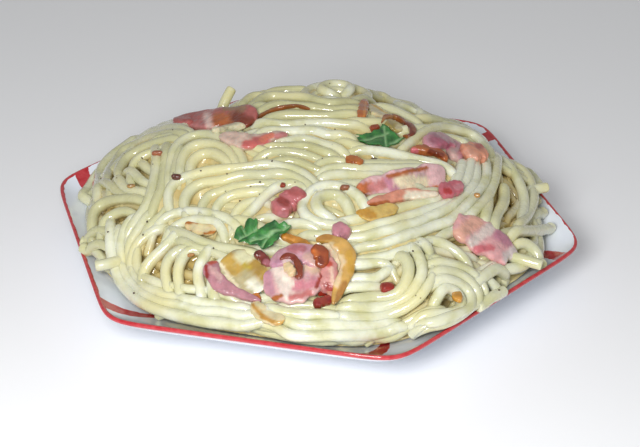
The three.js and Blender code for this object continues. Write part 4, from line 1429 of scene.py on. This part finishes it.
heights_above = np.interp(across, *zip(*(PLATE_UPPER + PLATE_LIP[:5])))
upper = (spun[:, 2] > heights_above - GLAZE_MARGIN) | ((across > LIP_OUT) & (spun[:, 2] > LIP_UP))
turns = (theta / (2 * math.pi) * 6) % 6
uv = plate.data.uv_layers.new(name="UVMap")
for face in plate.data.polygons:
    on_top = all(upper[i] for i in face.vertices)
    here = [turns[i] for i in face.vertices if across[i] > TINY]
    for loop in face.loop_indices:
        i = plate.data.loops[loop].vertex_index
        u = turns[i] if across[i] > TINY else sum(here) / len(here)
        if u < 1 and max(here) > 5:
            u += 6
        uv.data[loop].uv = (u, across[i] / 100 * (1 if on_top else -1))
    face.material_index = 1 if all(spun[i, 2] < TINY for i in face.vertices) else 0
chosen_alone(plate)
bpy.ops.object.shade_smooth_by_angle(angle=SHARP_EDGE)
print("faces of the plate:", len(plate.data.polygons))

# %% [markdown]
# ## Materials
# Every material starts from what the real one is: cooked durum wheat under a coat of cream sauce, belly
# bacon wet with its own fat, onion fried glassy, a fresh leaf, glazed porcelain. Wet food is a soft body
# that light enters, under a thin clear coat that gives the sharp highlights.

# %% material helpers
def add(tree, kind, settings=None, output=0):
    """Adds a node and gives an output of it. A setting is a property, a value or an output to link."""
    node = tree.nodes.new("ShaderNode" + kind)
    for key, value in (settings or {}).items():
        if isinstance(value, bpy.types.NodeSocket):
            tree.links.new(value, node.inputs[key])
        elif isinstance(key, int) or key in node.inputs:
            node.inputs[key].default_value = value
        else:
            setattr(node, key, value)
    return node.outputs[output]


def material(name, **sockets):
    """A material, its node tree and its surface node, with constants set on the surface's own sockets."""
    made = bpy.data.materials.new(name)
    made.use_nodes = True
    surface = made.node_tree.nodes["Principled BSDF"]
    for key, value in sockets.items():
        surface.inputs[key.replace("_", " ")].default_value = value
    print("material:", name)
    return made, made.node_tree, surface


def uneven(tree, grain_mm, detail=2.0, span=None):
    """A value that wavers over a grain in mm, fixed to the piece; a span brings it to a range."""
    spot = add(tree, "TexCoord", output="Object")
    value = add(tree, "TexNoise", {"Vector": spot, "Scale": 1 / (grain_mm * MM), "Detail": detail})
    if span:
        limits = dict(zip(("From Min", "From Max", "To Min", "To Max"), span))
        value = add(tree, "MapRange", {"Value": value, **limits})
    return value


def toned(tree, colour, *layers):
    """A colour under others: each is a value, where it starts and ends to cover, and the colour it brings."""
    for value, start, full, over in layers:
        cover = add(tree, "MapRange", {"Value": value, "From Min": start, "From Max": full})
        below, above = (linear(c) if isinstance(c, str) else c for c in (colour, over))
        colour = add(tree, "Mix", {"data_type": "RGBA", "Factor": cover, 6: below, 7: above}, 2)
    return colour


def bumped(tree, surface, *layers):
    """Bumps laid over one another: grain in mm, detail, depth in mm, strength."""
    settings = {}
    for grain_mm, detail, depth, strength in layers:
        settings["Height"] = uneven(tree, grain_mm, detail)
        settings["Distance"], settings["Strength"] = depth * MM, strength
        settings["Normal"] = add(tree, "Bump", settings)
    tree.links.new(settings["Normal"], surface.inputs["Normal"])
    tree.links.new(settings["Normal"], surface.inputs["Coat Normal"])


# %% cooked pasta in cream sauce
# durum wheat, boiled, creamy white to straw; the hollows between the strands are painted golden and darker:
# partly the sauce that gathers there, partly painted shade
pasta, tree, surface = material(
    "cooked pasta in cream sauce", Roughness=0.3, IOR=1.42, Coat_Weight=1.0, Coat_Roughness=0.05,
    Coat_IOR=1.45, Subsurface_Weight=0.4, Subsurface_Scale=0.0008, Subsurface_Radius=(1.0, 0.9, 0.6))
tint = add(tree, "Attribute", {"attribute_name": "tint"}, "Fac")
sunk = add(tree, "Attribute", {"attribute_name": "sunk"}, "Fac")
# the tint holds painted shade at the back and on the left, and the last layer paints the hollows golden and
# darker as sauce and painted shade
base = toned(tree, "#E4E6D2", (tint, 0, 1, "#B9B684"), (uneven(tree, 7.0, 3.0), 0.42, 0.66, "#C8C799"),
             (uneven(tree, 17.0, 1.0), 0.5, 0.66, "#D8D3A4"), (sunk, 0.25, 0.9, "#C2AA68"))
tree.links.new(base, surface.inputs["Base Color"])
tree.links.new(uneven(tree, 4.0, span=(0.3, 0.7, 0.16, 0.34)), surface.inputs["Roughness"])
bumped(tree, surface, (3.6, 2.0, 0.34, 0.45), (1.5, 2.0, 0.19, 0.55), (0.7, 2.0, 0.05, 0.3))

# %% sauce of egg yolk, cream and cheese
# straw yellow, thick, wet
cream, tree, surface = material(
    "egg and cheese sauce", Roughness=0.22, IOR=1.4, Coat_Weight=0.35, Coat_Roughness=0.08,
    Subsurface_Weight=0.3, Subsurface_Scale=0.0008, Subsurface_Radius=(1.0, 0.8, 0.4))
base = toned(tree, "#D6CA98", (uneven(tree, 5.0), 0.35, 0.65, "#C8B378"))
tree.links.new(base, surface.inputs["Base Color"])
bumped(tree, surface, (1.6, 3.0, 0.3, 0.6))


# %% bacon, onion and crumbs
def fried(name, roughness, soft, depth, radius, coat, shade_mm, bump_mm, bump_deep):
    """Fried food whose tone is painted on its points, varied by a fine grain and wet with fat."""
    made, tree, surface = material(
        name, Roughness=roughness, IOR=1.42, Coat_Weight=coat, Coat_Roughness=0.06, Coat_IOR=1.4,
        Subsurface_Weight=soft, Subsurface_Scale=depth, Subsurface_Radius=radius)
    tone = add(tree, "Attribute", {"attribute_name": "tone"}, "Color")
    shade = uneven(tree, shade_mm, 3.0, (0.3, 0.7, 0.8, 1.15))
    shaded = add(tree, "VectorMath", {"operation": "MULTIPLY", 0: tone, 1: shade})
    tree.links.new(shaded, surface.inputs["Base Color"])
    bumped(tree, surface, (bump_mm, 4.0, bump_deep, 0.8), (0.7, 2.0, 0.09, 0.5))
    return made


# cured belly, fried, wet with fat
bacon_skin = fried("fried belly bacon", 0.32, 0.2, 0.0006, (1.0, 0.35, 0.25), 0.85, 2.4, 1.3, 0.35)
# onion cells turned glassy in the pan, browned at the edges
onion_skin = fried("glassy fried onion", 0.22, 0.4, 0.0007, (1.0, 0.6, 0.3), 0.9, 3.0, 1.6, 0.2)
# crushed peppercorns, dry
pepper_skin = fried("cracked pepper", 0.6, 0.0, 0.001, (1.0, 1.0, 1.0), 0.2, 0.4, 0.3, 0.08)

# %% parsley
# a fresh leaf, waxy, paler along its veins; the pale tone there is partly a painted highlight
leaf_skin, tree, surface = material(
    "fresh parsley leaf", Roughness=0.4, IOR=1.45, Coat_Weight=0.4, Coat_Roughness=0.15,
    Subsurface_Weight=0.15, Subsurface_Scale=0.0006)
vein_and_highlight = add(tree, "Attribute", {"attribute_name": "vein_and_highlight"}, "Fac")
# the pale layer is the veins' colour together with a painted highlight
base = toned(tree, "#1F5426", (uneven(tree, 3.5), 0.35, 0.65, "#3F873C"), (vein_and_highlight, 0, 1, "#86AE78"))
tree.links.new(base, surface.inputs["Base Color"])
bumped(tree, surface, (1.4, 3.0, 0.25, 0.7))

# %% glazed porcelain with a red line and brush strokes
# hard white porcelain, clear glaze, iron red painted under it; the foot ring is left bare
STROKE_FROM, STROKE_TO = 60.0, 77.0           # distances from the axis in mm
STROKE_TURN_FROM, STROKE_TURN_TO = 4.0, -6.5  # degrees from the corner
STROKE_HALF = 2.3
STROKE_SLANT = 0.74
CORNER_STRETCH = 1.12     # a corner lies this much farther out than the middle of a side
LINE_FROM = 75.75
PAINT_EDGE = 0.06         # half width of the soft edge of the paint, in mm
glazed, tree, surface = material(
    "glazed white porcelain", Roughness=0.1, IOR=1.5, Coat_Weight=0.5, Coat_Roughness=0.04)
wobble = uneven(tree, 3.0, span=(0.3, 0.7, -0.18, 0.18))
swing = uneven(tree, 26.0, span=(0.35, 0.65, -0.35, 0.25))
unrolled = add(tree, "SeparateXYZ", {"Vector": add(tree, "UVMap", {"uv_map": "UVMap"})}).node.outputs
turn = add(tree, "Math", {"operation": "MULTIPLY", 0: unrolled["X"], 1: 60})
along = add(tree, "Math", {"operation": "MULTIPLY", 0: unrolled["Y"], 1: 100})

# the line along the lip, on both sides of it
waver = add(tree, "Math", {"operation": "ADD", 0: wobble, 1: swing})
lip_start = add(tree, "Math", {"operation": "ADD", 0: LINE_FROM, 1: waver})
out = add(tree, "Math", {"operation": "ABSOLUTE", 0: along})
past = add(tree, "Math", {"operation": "SUBTRACT", 0: out, 1: lip_start})
on_line = add(tree, "MapRange", {"Value": past, "From Min": -PAINT_EDGE, "From Max": PAINT_EDGE})

# one stroke for each corner: how far a point is from the stroke's middle, and how wide the stroke is there
side_turn = add(tree, "Math", {"operation": "WRAP", 0: turn, 1: PLATE_TURN + 60, 2: PLATE_TURN})
from_corner = add(tree, "Math", {"operation": "SUBTRACT", 0: side_turn, 1: PLATE_TURN + 30})
share = add(tree, "MapRange", {"Value": along, "From Min": STROKE_FROM, "From Max": STROKE_TO})
centre = add(tree, "MapRange", {"Value": along, "From Min": STROKE_FROM, "From Max": STROKE_TO,
                                "To Min": STROKE_TURN_FROM, "To Max": STROKE_TURN_TO})
off = add(tree, "Math", {"operation": "SUBTRACT", 0: from_corner, 1: centre})
off = add(tree, "Math", {"operation": "ABSOLUTE", 0: off})
off = add(tree, "Math", {"operation": "MULTIPLY", 0: off, 1: math.radians(CORNER_STRETCH)})
slanted = add(tree, "Math", {"operation": "MULTIPLY", 0: along, 1: STROKE_SLANT})
off = add(tree, "Math", {"operation": "MULTIPLY", 0: off, 1: slanted})
half = add(tree, "Math", {"operation": "POWER", 0: share, 1: 0.4})
half = add(tree, "Math", {"operation": "MULTIPLY", 0: half, 1: STROKE_HALF})
half = add(tree, "Math", {"operation": "ADD", 0: half, 1: wobble})
within = add(tree, "Math", {"operation": "SUBTRACT", 0: half, 1: off})
on_stroke = add(tree, "MapRange", {"Value": within, "From Min": -PAINT_EDGE, "From Max": PAINT_EDGE})
begun = add(tree, "MapRange", {"Value": along, "From Min": STROKE_FROM, "From Max": STROKE_FROM + 0.4})
on_stroke = add(tree, "Math", {"operation": "MULTIPLY", 0: on_stroke, 1: begun})

painted_red = add(tree, "Math", {"operation": "MAXIMUM", 0: on_line, 1: on_stroke})
red = toned(tree, "#B3202A", (uneven(tree, 1.8, 3.0), 0.3, 0.75, "#C8444A"))
tree.links.new(toned(tree, "#E9EFFA", (painted_red, 0, 1, red)), surface.inputs["Base Color"])

bare, tree, surface = material(
    "unglazed porcelain foot", Roughness=0.7, IOR=1.5, Base_Color=linear("#D8D2C6"))
bumped(tree, surface, (0.5, 3.0, 0.05, 0.5))

# %% pieces and their materials
def dressed(piece, part, *skins):
    """Gives a piece its materials and ties it to the plate's body."""
    piece.data.materials.clear()
    for skin in skins:
        piece.data.materials.append(skin)
    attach(piece, "root")


for piece in strand_pieces:
    dressed(piece, "noodle", pasta)
dressed(sauce, "noodle", cream)
for piece in list(bacon.values()) + [bacon_crumbs]:
    dressed(piece, "bacon", bacon_skin)
for piece in list(onion.values()) + [onion_crumbs]:
    dressed(piece, "onion", onion_skin)
for piece in parsley.values():
    dressed(piece, "parsley", leaf_skin)
dressed(pepper, "bacon", pepper_skin)
dressed(plate, "plate", glazed, bare)

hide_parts("spaghetti_heap")
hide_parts("plate")
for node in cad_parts:
    part, _, name = node.partition("_")
    pieces_of = {"bacon": bacon, "onion": onion, "parsley": parsley}.get(part)
    if pieces_of:
        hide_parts(node)

# %% [markdown]
# ## Floor and light
# A plain pale floor and plain soft studio light. One small lamp stands near the eye, as a lamp over the
# table would: it gives the sharp highlights on the wet strands and lets the far side fall off darker.

# %% floor
FLOOR_SIZE = 6.0
bpy.ops.mesh.primitive_plane_add(size=FLOOR_SIZE)
floor = bpy.context.object
floor.name = "floor"
painted_floor = material("matt pale floor", Roughness=0.85, Base_Color=linear("#FAFBFD"))[0]
floor.data.materials.append(painted_floor)
print("width of the floor in m:", FLOOR_SIZE)

# %% light
WORLD_LIGHT = 0.33
# name, place and size in metres, power in watts
LAMPS = [("lamp near the eye", (-0.06, -0.37, 0.25), 0.12, 1.55),
         ("soft overhead", (0.05, 0.0, 0.9), 0.8, 0.6)]
world = bpy.data.worlds.new("studio")
world.use_nodes = True
world.node_tree.nodes["Background"].inputs["Color"].default_value = linear("#FFFFFF")
world.node_tree.nodes["Background"].inputs["Strength"].default_value = WORLD_LIGHT
bpy.context.scene.world = world


def lamp(name, place, size, power):
    """A square lamp at a place in metres that shines on the heap."""
    light = bpy.data.lights.new(name, "AREA")
    light.size, light.energy = size, power
    holder = bpy.data.objects.new(name, light)
    holder.location = place
    holder.rotation_euler = (Vector((0, 0, 0.02)) - Vector(place)).to_track_quat("-Z", "Y").to_euler()
    bpy.context.scene.collection.objects.link(holder)


for row in LAMPS:
    lamp(*row)
bpy.context.scene.view_settings.view_transform = "Standard"
print("lamps:", len(LAMPS))
